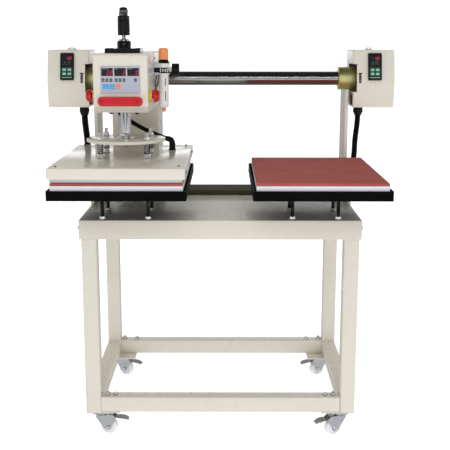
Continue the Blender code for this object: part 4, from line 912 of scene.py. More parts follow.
# grub screws that lock the shaft in the collars
places = [to((s * 0.4560, SHAFT_Y, SHAFT_Z + COLLAR_R - 0.0012), (0, 0, 1), 5) for s in (-1, 1)]
grub = cut(turned([(0.0030, 0), (0.0030, 0.0016), (0.0026, 0.0020)], n=32), turned([(0.0016, 0.0004), (0.0016, 0.01)], n=6))
dress(copies(grub, places), "collar_grub_screws", "frame", "black_oxide")

# =============================================================== control boxes
BOX_X0, BOX_X1, BOX_Z0, BOX_Z1 = 0.472, 0.619, 1.098, 1.300
CREASE_Z, CREASE_Y, TOP_Y, LOW_Y, BACK_Y, BSHEET = 1.186, 0.040, 0.068, 0.047, 0.240, 0.0016
METER_X, METER_Z, METER_W, METER_H = 0.5475, 1.241, 0.048, 0.096
SLOPE = math.degrees(math.atan2(TOP_Y - CREASE_Y, BOX_Z1 - CREASE_Z))
meter_y = CREASE_Y + (METER_Z - CREASE_Z) * math.tan(math.radians(SLOPE))
meter_at = (METER_X, meter_y, METER_Z)


def box_outline(d):
    return [(LOW_Y + d, BOX_Z0 + d), (CREASE_Y + d * 1.02, CREASE_Z), (TOP_Y + d * 1.1, BOX_Z1 - d), (BACK_Y - d, BOX_Z1 - d), (BACK_Y - d, BOX_Z0 + d)]


shell = prism(box_outline(0.0), "x", BOX_X0, BOX_X1)
bm = bmesh.new()
bm.from_mesh(shell.data)
bmesh.ops.bevel(bm, geom=list(bm.edges), offset=0.0034, segments=5, profile=0.5, affect="EDGES", clamp_overlap=True)
bm.to_mesh(shell.data)
bm.free()
cut(shell, prism(box_outline(BSHEET), "x", BOX_X0 + BSHEET, BOX_X1 - BSHEET))
cutout = turn(box(METER_X - 0.0228, METER_X + 0.0228, meter_y - 0.02, meter_y + 0.02, METER_Z - 0.0463, METER_Z + 0.0463), -SLOPE, "X", meter_at)
cut(shell,
    box(BOX_X0 - 0.004, NOTCH_X, 0.020, 0.080, SHAFT_Z - 0.0445, SHAFT_Z + 0.0530),
    box(BOX_X0 - 0.004, BOX_X0 + 0.0040, 0.020, 0.180, SHAFT_Z - 0.0445, SHAFT_Z + 0.0530),
    box(NOTCH_X - 0.0005, NOTCH_X + 0.0035, 0.020, 0.075, SHAFT_Z - 0.0447, SHAFT_Z - 0.0432),
    box(NOTCH_X - 0.0005, NOTCH_X + 0.0035, 0.020, 0.075, SHAFT_Z + 0.0514, SHAFT_Z + 0.0532),
    box(BOX_X0 - 0.004, BOX_X0 + 0.0035, 0.058, 0.128, BOX_Z0 + 0.008, SHAFT_Z - 0.056),
    cutout,
    rod(0.0125, BOX_Z0 - 0.01, BOX_Z0 + 0.01, (0.4985, 0.100, 0), "z", 48),
    prism(round_rect(0.4915, 0.5005, 1.184, 1.2175, 0.0044, 10), "y", 0.02, 0.062))
# vent louvres in the back
for k in range(7):
    z = 1.150 + 0.0085 * k
    cut(shell, box(0.512, 0.580, BACK_Y - 0.004, BACK_Y + 0.004, z, z + 0.0028))
other = mirrored(shell)
dress(shell, "control_box_shell_right", "frame", "cream", 0.0003, stands_for="control_box_right")
dress(other, "control_box_shell_left", "frame", "cream", 0.0003, stands_for="control_box_left")
spacer = box(COLUMN_X + COLUMN_T + GAP, BOX_X0 + 0.0006, 0.142, 0.166, 1.112, 1.146, 0.0015, 3, along("x"))
other = mirrored(spacer)
dress(spacer, "box_spacer_right", "frame", "cream", 0.0003)
dress(other, "box_spacer_left", "frame", "cream", 0.0003)

# folded lips behind the louvres, cover screws and the latch behind the oval slot
for s, tag in ((-1, "left"), (1, "right")):
    lips = []
    for k in range(7):
        z = 1.150 + 0.0085 * k
        lips.append(prism([(BACK_Y - 0.0012, z + 0.0028), (BACK_Y - 0.0002, z + 0.0036), (BACK_Y + 0.0016, z - 0.0002), (BACK_Y + 0.0008, z - 0.0006)], "x", s * 0.512, s * 0.580))
    dress(join(*lips), "louvre_lips_" + tag, "frame", "cream")
    places = [to((s * (BOX_X1 - 0.0001), y, z), (s, 0, 0), 30 * k) for k, (y, z) in enumerate(((0.090, 1.112), (0.218, 1.112), (0.218, 1.286), (0.100, 1.286)))]
    places += [to((s * x, BACK_Y - 0.0001, z), (0, 1, 0), 40 * k) for k, (x, z) in enumerate(((0.484, 1.112), (0.607, 1.112), (0.484, 1.286), (0.607, 1.286)))]
    dress(copies(pan_screw(0.0036), places), "box_screws_" + tag, "frame", "bright_nickel")
    # cable tie base with its two screws on the top sheet
    xs = (-0.556, -0.524) if s < 0 else (0.521, 0.546)
    base = box(xs[0], xs[1], 0.112, 0.128, BOX_Z1 - 0.0002, BOX_Z1 + 0.0050, 0.0018, 4)
    add(base, box((xs[0] + xs[1]) / 2 - 0.0055, (xs[0] + xs[1]) / 2 + 0.0055, 0.114, 0.126, BOX_Z1 + 0.001, BOX_Z1 + 0.0108, 0.0022, 4))
    cut(base, rod(0.0030, 0.10, 0.14, ((xs[0] + xs[1]) / 2, 0, BOX_Z1 + 0.0062), "y", 32))
    dress(base, "cable_clip_" + tag, "frame", "nylon", 0.0003)
    dress(copies(pan_screw(0.0034), [to((x, 0.120, BOX_Z1 + 0.0049), (0, 0, 1), 20) for x in (xs[0] + 0.0062, xs[1] - 0.0062)]),
          "cable_clip_screws_" + tag, "frame", "black_oxide")
    # black plate just behind the oval slot: painted shade, darkening the slot as the shaded inside of the box would
    latch = box(min(s * 0.4890, s * 0.5030), max(s * 0.4890, s * 0.5030), 0.0475, 0.0490, 1.1815, 1.2205, 0.0006, 2)
    dress(latch, "slot_shade_backing_" + tag, "frame", "black_plastic")
    lever = join(box(min(s * 0.4937, s * 0.4983), max(s * 0.4937, s * 0.4983), 0.0435, 0.0474, 1.1870, 1.2060, 0.0014, 4),
                 shift(turn(rod(0.0026, 0, 0.003, (0, 0, 0), "z", 32, 0.0006), 90, "X"), (s * 0.4960, 0.0474, 1.2122)))
    dress(lever, "slot_latch_" + tag, "frame", "dark_nickel")
    # relay, terminal strip and wires inside the box, seen through its side opening
    relay = box(min(s * 0.500, s * 0.545), max(s * 0.500, s * 0.545), 0.150, 0.172, 1.112, 1.170, 0.002, 3)
    dress(relay, "relay_body_" + tag, "frame", "black_plastic", 0.0004)
    strip = []
    for k in range(6):
        strip.append(box(min(s * 0.490, s * 0.512), max(s * 0.490, s * 0.512), 0.064 + 0.0095 * k, 0.0722 + 0.0095 * k, BOX_Z0 + BSHEET, BOX_Z0 + 0.016, 0.001, 2))
    dress(join(*strip), "terminal_strip_" + tag, "frame", "terminal", 0.0002)
    wires = []
    for k in range(4):
        y = 0.068 + 0.0095 * k
        wires.append(swept(bezier((s * 0.500, y, BOX_Z0 + 0.015), (s * 0.500, y, 1.150), (s * 0.520, 0.10 + 0.01 * k, 1.13), (s * 0.522, 0.151, 1.150 + 0.004 * k), 18), 0.0011, 10))
    dress(join(*wires), "box_wires_" + tag, "frame", "rubber")


# ------------------------------------------------------------- seven segments
SEGMENTS = {"0": "abcdef", "1": "bc", "2": "abged", "3": "abgcd", "4": "fgbc", "5": "afgcd", "6": "afgedc", "7": "abc", "8": "abcdefg", "9": "abcdfg"}


def bar(x0, z0, x1, z1, t, y0, y1):
    """Pointed segment between two points in the XZ plane."""
    d = Vector((x1 - x0, z1 - z0))
    n = d.length
    d /= n
    q = Vector((-d.y, d.x))
    p = Vector((x0, z0))
    pts = [p + d * (t * 0.15), p + d * (t * 0.65) + q * (t / 2), p + d * (n - t * 0.65) + q * (t / 2), p + d * (n - t * 0.15), p + d * (n - t * 0.65) - q * (t / 2), p + d * (t * 0.65) - q * (t / 2)]
    return prism([(v.x, v.y) for v in pts], "y", y0, y1)


def digit(char, x, z, w, h, t, y0, y1, lit=True):
    """Segments of one figure; x, z is its lower left corner. lit=False gives the other segments."""
    lean = 0.10
    corner = lambda u, v: (x + u * w + v * h * lean, z + v * h)
    ends = {"a": ((0, 1), (1, 1)), "b": ((1, 1), (1, 0.5)), "c": ((1, 0.5), (1, 0)), "d": ((1, 0), (0, 0)), "e": ((0, 0), (0, 0.5)), "f": ((0, 0.5), (0, 1)), "g": ((0, 0.5), (1, 0.5))}
    out = []
    for k, (p, q) in ends.items():
        if (k in SEGMENTS.get(char, "")) == lit:
            a, b = corner(*p), corner(*q)
            out.append(bar(a[0], a[1], b[0], b[1], t, y0, y1))
    return out


def slab(x0, x1, z0, z1, r, y0, y1, n=6):
    return prism(round_rect(x0, x1, z0, z1, r, n), "y", y0, y1)


# ---------------------------------------------------- temperature controllers
for s, tag in ((-1, "left"), (1, "right")):
    # modelled flat, facing -Y round the meter's centre, then tilted onto the box
    place = Matrix.Translation((s * METER_X, meter_y, METER_Z)) @ Matrix.Rotation(math.radians(-SLOPE), 4, "X")
    w2, h2 = METER_W / 2, METER_H / 2
    bezel = prism(round_rect(-w2, w2, -h2, h2, 0.0025, 6), "y", -0.0100, -0.0004)
    bm = bmesh.new()
    bm.from_mesh(bezel.data)
    picked = [e for e in bm.edges if all(v.co.y < -0.0099 for v in e.verts)]
    bmesh.ops.bevel(bm, geom=picked, offset=0.0016, segments=4, profile=0.5, affect="EDGES")
    bm.to_mesh(bezel.data)
    bm.free()
    cut(bezel, slab(-w2 + 0.0042, w2 - 0.0042, -h2 + 0.0055, h2 - 0.0050, 0.0016, -0.02, -0.0086))
    add(bezel, box(-0.0222, 0.0222, -0.0020, 0.062, -0.0456, 0.0456, 0.001, 2, along("y")))
    dress(move(bezel, place), "meter_case_" + tag, "frame", "black_plastic", stands_for="temperature_controller_" + tag)
    x0, x1 = -w2 + 0.0046, w2 - 0.0046
    dress(move(slab(x0, x1, 0.0030, h2 - 0.0054, 0.0012, -0.0092, -0.0085), place), "meter_window_" + tag, "frame", "window_grey", 0.0001)
    dress(move(slab(x0, x1, -h2 + 0.0130, -0.0035, 0.0012, -0.0092, -0.0085), place), "meter_keypad_" + tag, "frame", "meter_green", 0.0001)
    dress(move(slab(x0 + 0.001, x1 - 0.001, -h2 + 0.0072, -h2 + 0.0092, 0.0009, -0.0091, -0.0085), place), "meter_strip_" + tag, "frame", "meter_key")
    red, off, green = [], [], []
    for k, ch in enumerate("180"):
        px = -0.0030 + 0.0068 * k
        red += digit(ch, px, 0.0235, 0.0042, 0.0105, 0.0013, -0.00935, -0.0091)
        off += digit(ch, px, 0.0235, 0.0042, 0.0105, 0.0013, -0.00932, -0.0091, False)
    off += digit("", -0.0098, 0.0235, 0.0042, 0.0105, 0.0013, -0.00932, -0.0091, False)
    for k, ch in enumerate("0180" if s > 0 else "0175"):
        green += digit(ch, -0.0090 + 0.0056 * k, 0.0102, 0.0034, 0.0070, 0.0009, -0.00935, -0.0091)
    dress(move(join(*red), place), "meter_digits_" + tag, "frame", "seg_red")
    dress(move(join(*off), place), "meter_digits_unlit_" + tag, "frame", "segment_off")
    dress(move(join(*green), place), "meter_setpoint_" + tag, "frame", "seg_green")
    keys, marks = [], []
    for ix in (-1, 1):
        for iz in (-1, 1):
            cx, cz = ix * 0.0090, -0.0195 + iz * 0.0072
            k = slab(cx - 0.0056, cx + 0.0056, cz - 0.0038, cz + 0.0038, 0.0014, -0.0102, -0.0090)
            keys.append(k)
    keys = join(*keys)
    dress(move(keys, place), "meter_keys_" + tag, "frame", "meter_key", 0.0004)
    tri = lambda cx, cz, a: [(cx + a * math.cos(math.radians(t)), cz + a * math.sin(math.radians(t))) for t in (90, 210, 330)]
    for cx, cz, flip in ((-0.0090, -0.0123, 0), (0.0090, -0.0123, 1)):
        pts = tri(0, 0, 0.0017)
        pts = [(cx + p[0], cz + (p[1] if not flip else -p[1])) for p in pts]
        marks.append(prism(pts, "y", -0.01035, -0.0101))
    marks.append(slab(-0.0106, -0.0074, -0.0271, -0.0263, 0.0003, -0.01035, -0.0101))
    marks.append(shift(ring(0.0008, 0.0015, -0.01035, -0.0101, (0.0090, 0, -0.0267), "y", 24), (0, 0, 0)))
    dress(move(join(*marks), place), "meter_key_marks_" + tag, "frame", "meter_green")
    leds = [slab(-0.0150 + 0.0075 * k, -0.0128 + 0.0075 * k, 0.0052, 0.0062, 0.0004, -0.00935, -0.0091) for k in range(4)]
    dress(move(join(*leds), place), "meter_lamps_" + tag, "frame", "key_mark")

# --------------------------------------------------- glands and platen hoses
tray_back = PLATEN_Y + 0.622 / 2
gx, gy = 0.4985, 0.100
hz = (TRAY_Z0 + TRAY_Z1) / 2 + 0.0010
for s, tag in ((-1, "left"), (1, "right")):
    gz = BOX_Z0 - GAP
    nut = shift(hex_body(0.0320, 0.0072), (0, 0, gz - 0.0072))
    hose_r = 0.0122 if s < 0 else 0.0106
    body = turned([(0.0110, gz), (0.0166, gz - 0.0070), (0.0166, gz - 0.0088), (0.0176, gz - 0.0094), (0.0176, gz - 0.0200), (0.0170, gz - 0.0215), (hose_r + 0.0032, gz - 0.0232),
                   (hose_r + 0.0026, gz - 0.0300), (hose_r + 0.0018, gz - 0.0310), (0.0100, gz - 0.0310)][::-1], (0, 0, 0), "z", 72,
                  wave=lambda a, r, h: r + (0.0004 * max(0.0, math.cos(a * 12)) if r > 0.0172 else 0))
    inner_nut = shift(hex_body(0.0270, 0.0050), (0, 0, BOX_Z0 + BSHEET + 0.0003))
    g = shift(join(nut, body, inner_nut), (s * gx, gy, 0))
    dress(g, "hose_gland_" + tag, "frame", "black_plastic", 0.0003)
    path = (bezier((gx, gy, BOX_Z0 - 0.022), (gx, gy, 1.02), (0.490, 0.096, 1.00), (0.490, 0.098, 0.945), 40)
            + bezier((0.490, 0.098, 0.945), (0.490, 0.100, 0.905), (0.485, 0.120, hz), (0.485, tray_back + 0.0100, hz), 40)[1:]
            + [Vector((0.485, tray_back + 0.0060, hz)), Vector((0.485, tray_back + 0.0010, hz))])
    path = [Vector((s * p.x, p.y, p.z)) for p in path]
    dress(corrugated(path, hose_r, 0.0034, 0.0013), "corrugated_hose_" + tag, "frame", "conduit", stands_for="platen_hose_" + tag)
    collar = ring(hose_r - 0.0008, hose_r + 0.0026, tray_back + 0.0006, tray_back + 0.0120, (s * 0.485, 0, hz), "y", 64, 0.0010)
    lock = turn(hex_body(0.0290, 0.0045), -90, "X")
    shift(lock, (s * 0.485, tray_back + 0.0004, hz))
    dress(join(collar, lock), "tray_gland_" + tag, "frame", "black_plastic", 0.0003)

# ============================================================== lower platens
for s, tag in ((-1, "left"), (1, "right")):
    cx = s * STATION_X
    keep("platen_tray_" + tag, "black_paint", 0.0005)
    keep("lower_heat_plate_" + tag, "white_plate")
    # screws in the sides of the tray
    y0, y1 = PLATEN_Y - 0.311, PLATEN_Y + 0.311
    places = [to((cx + sx * 0.2105, PLATEN_Y + dy, 0.8775), (sx, 0, 0), 33) for sx in (-1, 1) for dy in (-0.24, 0.0, 0.24)]
    places += [to((cx + dx, yy, 0.8775), (0, d, 0), 21) for yy, d in ((y1, 1),) for dx in (-0.15, 0.15 if s > 0 else 0.10)]
    dress(copies(pan_screw(0.0034), places), "tray_screws_" + tag, "frame", "black_oxide")

    # silicone sponge pad: soft slab with a crowned top, rolled edges and slight waves
    lo, hi = cad_box("silicone_pad_" + tag)
    nx, ny = 84, 124
    wx, wy, t = (hi.x - lo.x) / 2, (hi.y - lo.y) / 2, hi.z - lo.z
    pressed = s < 0
    top_v, rr = [], 0.0030

    def edge_drop(d):
        """How far the surface has rolled down at a distance d from the edge."""
        return 0.0 if d >= rr else rr - math.sqrt(max(0.0, rr * rr - (rr - d) ** 2))

    def wave(x, y):
        return (math.sin(x * 21.0 + 1.3) * math.cos(y * 13.0 + 0.4) + 0.6 * math.sin(x * 47.0 - y * 33.0) + 0.35 * math.sin(y * 90.0 + x * 70.0)) / 1.95

    def grade(i, n):
        """Grid lines gathered at both edges so that the rolled edge is smooth."""
        u = 2 * i / n - 1
        k = 6
        if i <= k or i >= n - k:
            j = i if i <= k else n - i
            d = rr * (1 - math.cos(math.pi / 2 * j / k))
            return (-1 if i <= k else 1), d
        return None, u

    xs_, ys_ = [], []
    for n, half, store in ((nx, wx, xs_), (ny, wy, ys_)):
        for i in range(n + 1):
            side, d = grade(i, n)
            if side is None:
                k = 6
                f = (i - k) / (n - 2 * k)
                store.append(-half + rr + (2 * half - 2 * rr) * f)
            else:
                store.append(side * (half - d))
    verts, faces = [], []
    cols = ny + 1
    for i, x in enumerate(xs_):
        for j, y in enumerate(ys_):
            dx, dy = wx - abs(x), wy - abs(y)
            drop = max(edge_drop(dx), edge_drop(dy))
            lift = 0.00035 * wave(x, y) * min(1.0, min(dx, dy) / 0.02)
            crown = 0.0003 * (1 - (x / wx) ** 4) * (1 - (y / wy) ** 4)
            z = hi.z - 0.00062 - drop * 0.75 + (lift * 0.3 + crown if pressed else lift + crown * 0.6)
            bulge = 0.00022 * math.sin(y * 31.0) if abs(abs(x) - wx) < 1e-6 else 0.0
            bulge_y = 0.00022 * math.sin(x * 37.0 + 0.7) if abs(abs(y) - wy) < 1e-6 else 0.0
            verts.append((cx + x + bulge, PLATEN_Y + y + bulge_y, z))
    for i in range(nx):
        for j in range(ny):
            faces.append((i * cols + j, (i + 1) * cols + j, (i + 1) * cols + j + 1, i * cols + j + 1))
    border = [i * cols for i in range(nx + 1)] + [nx * cols + j for j in range(1, ny + 1)] + [i * cols + ny for i in range(nx - 1, -1, -1)] + [j for j in range(ny - 1, 0, -1)]
    base = len(verts)
    levels = ((0.0003, 0.45), (0.0004, 0.12), (-0.0006, 0.0))
    for out, f in levels:
        for b in border:
            x, y, z = verts[b]
            ux, uy = (x - cx) / wx, (y - PLATEN_Y) / wy
            verts.append((x + (out if ux > 0.999 else -out if ux < -0.999 else 0.0), y + (out if uy > 0.999 else -out if uy < -0.999 else 0.0), lo.z + (z - lo.z) * f))
    nb = len(border)
    for b in range(nb):
        c = (b + 1) % nb
        faces.append((border[b], base + b, base + c, border[c]))
        for k in range(len(levels) - 1):
            faces.append((base + k * nb + b, base + (k + 1) * nb + b, base + (k + 1) * nb + c, base + k * nb + c))
    faces.append(tuple(base + (len(levels) - 1) * nb + b for b in range(nb)))
    pad = raw(verts, faces, "pad")
    dress(pad, "silicone_sponge_pad_" + tag, "frame", "silicone", sharp=60, stands_for="silicone_pad_" + tag)

    # stand: top plate, four threaded studs, their lock nuts and chromed foot nuts
    stand = box(cx - 0.097, cx + 0.097, PLATEN_Y - 0.097, PLATEN_Y + 0.097, TRAY_Z0 - GAP - 0.006, TRAY_Z0 - GAP, 0.005, 6, along("z"))
    dress(stand, "stand_plate_" + tag, "frame", "black_paint", 0.0006, stands_for="platen_stand_" + tag)
    spots = [(cx + ix * STUD_PITCH / 2, PLATEN_Y + iy * STUD_PITCH / 2) for ix in (-1, 1) for iy in (-1, 1)]
    stud = threaded(0.0060, TABLE_Z + 0.004, TRAY_Z0 - 0.004, 0.0016, n=32)
    dress(copies(stud, [Matrix.Translation((x, y, 0)) for x, y in spots]), "stand_studs_" + tag, "frame", "black_oxide")
    pair = join(shift(hex_body(0.0170, 0.0085, both=True), (0, 0, TABLE_Z + 0.0024)),
                shift(turned([(0.0002, 0), (0.0100, 0), (0.0105, 0.0004), (0.0105, 0.0014), (0.0100, 0.0018), (0.0002, 0.0018)], n=48), (0, 0, TABLE_Z + GAP)))
    dress(copies(pair, [Matrix.Translation((x, y, 0)) @ Matrix.Rotation(0.5 * k, 4, "Z") for k, (x, y) in enumerate(spots)]), "stand_foot_nuts_" + tag, "frame", "bright_nickel", 0.0003)
    upper = join(shift(hex_body(0.0160, 0.0070, both=True), (0, 0, TRAY_Z0 - 0.0142)),
                 shift(turned([(0.0002, 0), (0.0098, 0), (0.0102, 0.0004), (0.0102, 0.0012), (0.0098, 0.0016), (0.0002, 0.0016)], n=48), (0, 0, TRAY_Z0 - 0.0081)))
    dress(copies(upper, [Matrix.Translation((x, y, 0)) @ Matrix.Rotation(0.3 * k, 4, "Z") for k, (x, y) in enumerate(spots)]), "stand_lock_nuts_" + tag, "frame", "black_oxide", 0.0003)

# ============================================================== sliding head
X0, X1 = HX - HEAD_HALF, HX + HEAD_HALF
front_outline = ([(HEAD_SPLIT_Y, HEAD_Z0), (-0.332, HEAD_Z0), (HEAD_FRONT_Y, HEAD_Z0 + 0.021)]
                 + arc(HEAD_FRONT_Y + 0.012, HEAD_Z1 - 0.012, 0.012, 180, 90, 14) + [(HEAD_SPLIT_Y, HEAD_Z1)])
cover = prism(front_outline, "x", X0, X1)
bm = bmesh.new()
bm.from_mesh(cover.data)
picked = [e for e in bm.edges if all(abs(v.co.x - X0) < 1e-6 for v in e.verts) or all(abs(v.co.x - X1) < 1e-6 for v in e.verts)]
picked = [e for e in picked if not all(abs(v.co.y - HEAD_SPLIT_Y) < 1e-6 for v in e.verts)]
bmesh.ops.bevel(bm, geom=picked, offset=0.0042, segments=6, profile=0.5, affect="EDGES", clamp_overlap=True)
bm.to_mesh(cover.data)
bm.free()
inner = ([(HEAD_SPLIT_Y + 0.02, HEAD_Z0 - 0.02), (-0.331 + SHEET, HEAD_Z0 - 0.02), (-0.331 + SHEET, HEAD_Z0), (HEAD_FRONT_Y + SHEET, HEAD_Z0 + 0.0215)]
         + arc(HEAD_FRONT_Y + 0.012, HEAD_Z1 - 0.012, 0.012 - SHEET, 180, 90, 10) + [(HEAD_SPLIT_Y + 0.02, HEAD_Z1 - SHEET)])
cut(cover, prism(inner, "x", X0 + SHEET, X1 - SHEET),
    rod(0.0500, HEAD_Z1 - 0.01, HEAD_Z1 + 0.01, (HX, PLATEN_Y, 0), "z", 96),
    rod(0.0106, HX - 0.120, HX + 0.120, (0, ESTOP_Y, ESTOP_Z), "x", 48))
dress(cover, "head_front_housing", "head", "cream", 0.0003, stands_for="head_cover")

# carriage: box over the shaft, rear column down to the guide beam, arm that holds the cylinder
rear_half, col_half, COLUMN_FRONT_Y, COLUMN_FOOT_Z = 0.0875, 0.0845, 0.0845, 0.800
car = box(HX - rear_half, HX + rear_half, HEAD_SPLIT_Y + GAP, HEAD_BACK_Y, HEAD_Z0, HEAD_Z1, 0.0042, 6,
          lambda d, m: m.z > HEAD_Z0 + 0.001 and m.y > HEAD_SPLIT_Y + 0.01)
add(car, box(HX - col_half, HX + col_half, COLUMN_FRONT_Y, HEAD_BACK_Y - 0.0005, COLUMN_FOOT_Z, HEAD_Z0 + 0.02, 0.0042, 6, along("z")))
wall = 0.004
cut(car,
    box(HX - rear_half + wall, HX + rear_half - wall, HEAD_SPLIT_Y + 0.006, HEAD_BACK_Y - wall, HEAD_Z0 + wall, HEAD_Z1 - wall),
    box(HX - col_half + wall, HX + col_half - wall, COLUMN_FRONT_Y + wall, HEAD_BACK_Y - wall - 0.001, COLUMN_FOOT_Z - 0.02, HEAD_Z0 + 0.03))
ax0, ax1 = HX - 0.0805, HX + 0.0805
add(car,
    box(ax0, ax1, -0.308, HEAD_SPLIT_Y + 0.004, ARM_Z0, ARM_Z0 + ARM_T, 0.001, 2),
    box(ax0, ax0 + 0.008, -0.300, HEAD_SPLIT_Y + 0.004, ARM_Z0 + 0.004, 1.262),
    box(ax1 - 0.008, ax1, -0.300, HEAD_SPLIT_Y + 0.004, ARM_Z0 + 0.004, 1.262),
    rod(0.0380, HX - rear_half + 0.001, HX + rear_half - 0.001, (0, SHAFT_Y, SHAFT_Z), "x", 96))
roller_y = BEAM_Y0 - 0.018 - 0.0006
ROLLER_Z0, ROLLER_H = TABLE_Z + 0.0035, 0.012
cut(car,
    rod(0.0324, HX - rear_half - 0.01, HX + rear_half + 0.01, (0, SHAFT_Y, SHAFT_Z), "x", 96),
    rod(0.0300, ARM_Z0 - 0.01, ARM_Z0 + ARM_T + 0.01, (HX, PLATEN_Y, 0), "z", 64),
    rod(0.0120, HX + 0.060, HX + 0.100, (0, ESTOP_Y, ESTOP_Z), "x", 32),
    rod(0.0120, HX - 0.100, HX - 0.060, (0, ESTOP_Y, ESTOP_Z), "x", 32),
    rod(0.0017, COLUMN_FRONT_Y - 0.01, COLUMN_FRONT_Y + 0.01, (-0.2424, 0, 1.0398), "y", 24))
dress(car, "carriage_body", "head", "cream", 0.0004, stands_for="carriage")
bracket = join(box(HX - 0.030, HX + 0.030, COLUMN_FRONT_Y + 0.006, HEAD_BACK_Y - 0.006, COLUMN_FOOT_Z + 0.0005, COLUMN_FOOT_Z + 0.0085, 0.001, 2),
               turned([(0.0085, ROLLER_Z0 + ROLLER_H + 0.001), (0.0085, COLUMN_FOOT_Z + 0.004)], (HX, roller_y, 0), "z", 40),
               turned([(0.0050, ROLLER_Z0 - 0.0012), (0.0050, ROLLER_Z0 + ROLLER_H + 0.003)], (HX, roller_y, 0), "z", 32))
dress(bracket, "roller_bracket", "head", "zinc", 0.0004)
dress(turned([(0.0058, ROLLER_Z0), (0.0165, ROLLER_Z0), (0.0180, ROLLER_Z0 + 0.0015), (0.0180, ROLLER_Z0 + ROLLER_H - 0.0015), (0.0165, ROLLER_Z0 + ROLLER_H), (0.0130, ROLLER_Z0 + ROLLER_H),
              (0.0126, ROLLER_Z0 + ROLLER_H - 0.0008), (0.0085, ROLLER_Z0 + ROLLER_H - 0.0008), (0.0082, ROLLER_Z0 + ROLLER_H), (0.0058, ROLLER_Z0 + ROLLER_H)],
             (HX, roller_y, 0), "z", 96, closed=True), "guide_roller_bearing", "roller", "zinc", stands_for="guide_roller")
dress(copies(shift(hex_body(0.010, 0.0014), (0, 0, 0)), [Matrix.Translation((HX, roller_y, ROLLER_Z0 - 0.0024))]), "roller_screw_head", "head", "bright_nickel")

dress(ring(SHAFT_R + 0.0003, 0.0316, HX - 0.080, HX + 0.080, (0, SHAFT_Y, SHAFT_Z), "x", 96, 0.0006), "sliding_bush", "head", "bronze", stands_for="slide_bushing")
seals = []
for s in (-1, 1):
    seals.append(ring(SHAFT_R + 0.0003, 0.0322, HX + s * 0.0805 if s > 0 else HX - 0.0872, HX + 0.0872 if s > 0 else HX - 0.0805, (0, SHAFT_Y, SHAFT_Z), "x", 96, 0.0008))
dress(join(*seals), "shaft_wiper_seals", "head", "rubber")
# bearing cover rings with their screws on both sides of the carriage
for s, tag in ((-1, "left"), (1, "right")):
    x = HX + s * rear_half
    lo_, hi_ = (x, x + 0.0035) if s > 0 else (x - 0.0035, x)
    dress(ring(SHAFT_R + 0.0012, 0.0400, lo_, hi_, (0, SHAFT_Y, SHAFT_Z), "x", 96, 0.0006), "bearing_cover_" + tag, "head", "black_paint")
    places = [to((x + s * 0.0034, SHAFT_Y + 0.0345 * math.cos(a), SHAFT_Z + 0.0345 * math.sin(a)), (s, 0, 0), 20) for a in (math.pi / 4, 3 * math.pi / 4, 5 * math.pi / 4, 7 * math.pi / 4)]
    dress(copies(socket_screw(0.0040), places), "bearing_cover_screws_" + tag, "head", "black_oxide")

# housing screws: side flanges of the front cover, back plate of the carriage
places = [to((HX + s * HEAD_HALF, -0.146, z), (s, 0, 0), 15 + 40 * k) for s in (-1, 1) for k, z in enumerate((1.130, 1.200, 1.275))]
places += [to((HX + s * rear_half, y, z), (s, 0, 0), 22 * k) for s in (-1, 1) for k, (y, z) in enumerate(((-0.112, 1.130), (-0.112, 1.275), (0.272, 1.130), (0.272, 1.275)))]
dress(copies(pan_screw(0.0036), places), "housing_screws", "head", "bright_nickel")
plate = slab(HX - 0.070, HX + 0.070, 1.1250, 1.2800, 0.004, HEAD_BACK_Y + 0.0002, HEAD_BACK_Y + 0.0018)
dress(plate, "carriage_back_plate", "head", "cream", 0.0004)
places = [to((HX + dx, HEAD_BACK_Y + 0.0017, z), (0, 1, 0), 30 * k) for k, (dx, z) in enumerate(((-0.062, 1.133), (0.062, 1.133), (-0.062, 1.272), (0.062, 1.272)))]
plate2 = slab(HX - 0.066, HX + 0.066, 0.8200, 1.0900, 0.004, HEAD_BACK_Y - 0.0004, HEAD_BACK_Y + 0.0011)
dress(plate2, "column_back_plate", "head", "cream", 0.0004)
places += [to((HX + dx, HEAD_BACK_Y + 0.0010, z), (0, 1, 0), 30 * k) for k, (dx, z) in enumerate(((-0.058, 0.828), (0.058, 0.828), (-0.058, 1.082), (0.058, 1.082)))]
dress(copies(pan_screw(0.0036), places), "back_plate_screws", "head", "bright_nickel")

# pneumatic cylinder: barrel, top flange, neck
cyl_z0, flange_z0 = ARM_Z0 + ARM_T + GAP, HEAD_Z1 + GAP
body = turned([(ROD_R + 0.0006, cyl_z0 - 0.022), (0.0275, cyl_z0 - 0.022), (0.0285, cyl_z0 - 0.021), (0.0285, cyl_z0), (0.0480, cyl_z0), (0.0490, cyl_z0 + 0.001),
               (0.0490, flange_z0 + 0.004), (THIN_R + 0.0006, flange_z0 + 0.004), (THIN_R + 0.0006, flange_z0 - 0.014),
               (PISTON_R - 0.0002, flange_z0 - 0.014), (PISTON_R - 0.0002, cyl_z0 + 0.010), (ROD_R + 0.0006, cyl_z0 + 0.010)],
              (HX, PLATEN_Y, 0), "z", 96, closed=True)
dress(body, "cylinder_barrel", "head", "black_anodised", stands_for="air_cylinder")
flange = box(HX - 0.0565, HX + 0.0565, PLATEN_Y - 0.0565, PLATEN_Y + 0.0565, flange_z0, flange_z0 + 0.0145, 0.003, 5,
             lambda d, m: abs(d.z) > 0.9)
cut(flange, rod(THIN_R + 0.0010, flange_z0 - 0.01, flange_z0 + 0.03, (HX, PLATEN_Y, 0), "z", 48))
for ix in (-1, 1):
    for iy in (-1, 1):
        cut(flange, rod(0.0068, flange_z0 + 0.0075, flange_z0 + 0.03, (HX + ix * 0.0465, PLATEN_Y + iy * 0.0465, 0), "z", 40))
dress(flange, "cylinder_flange", "head", "black_anodised", 0.0010, 3)
dress(copies(socket_screw(0.0080), [to((HX + ix * 0.0465, PLATEN_Y + iy * 0.0465, flange_z0 + 0.0076), (0, 0, 1), 14 * ix) for ix in (-1, 1) for iy in (-1, 1)]),
      "flange_screws", "head", "black_oxide", 0.0002)
z = flange_z0 + 0.0143
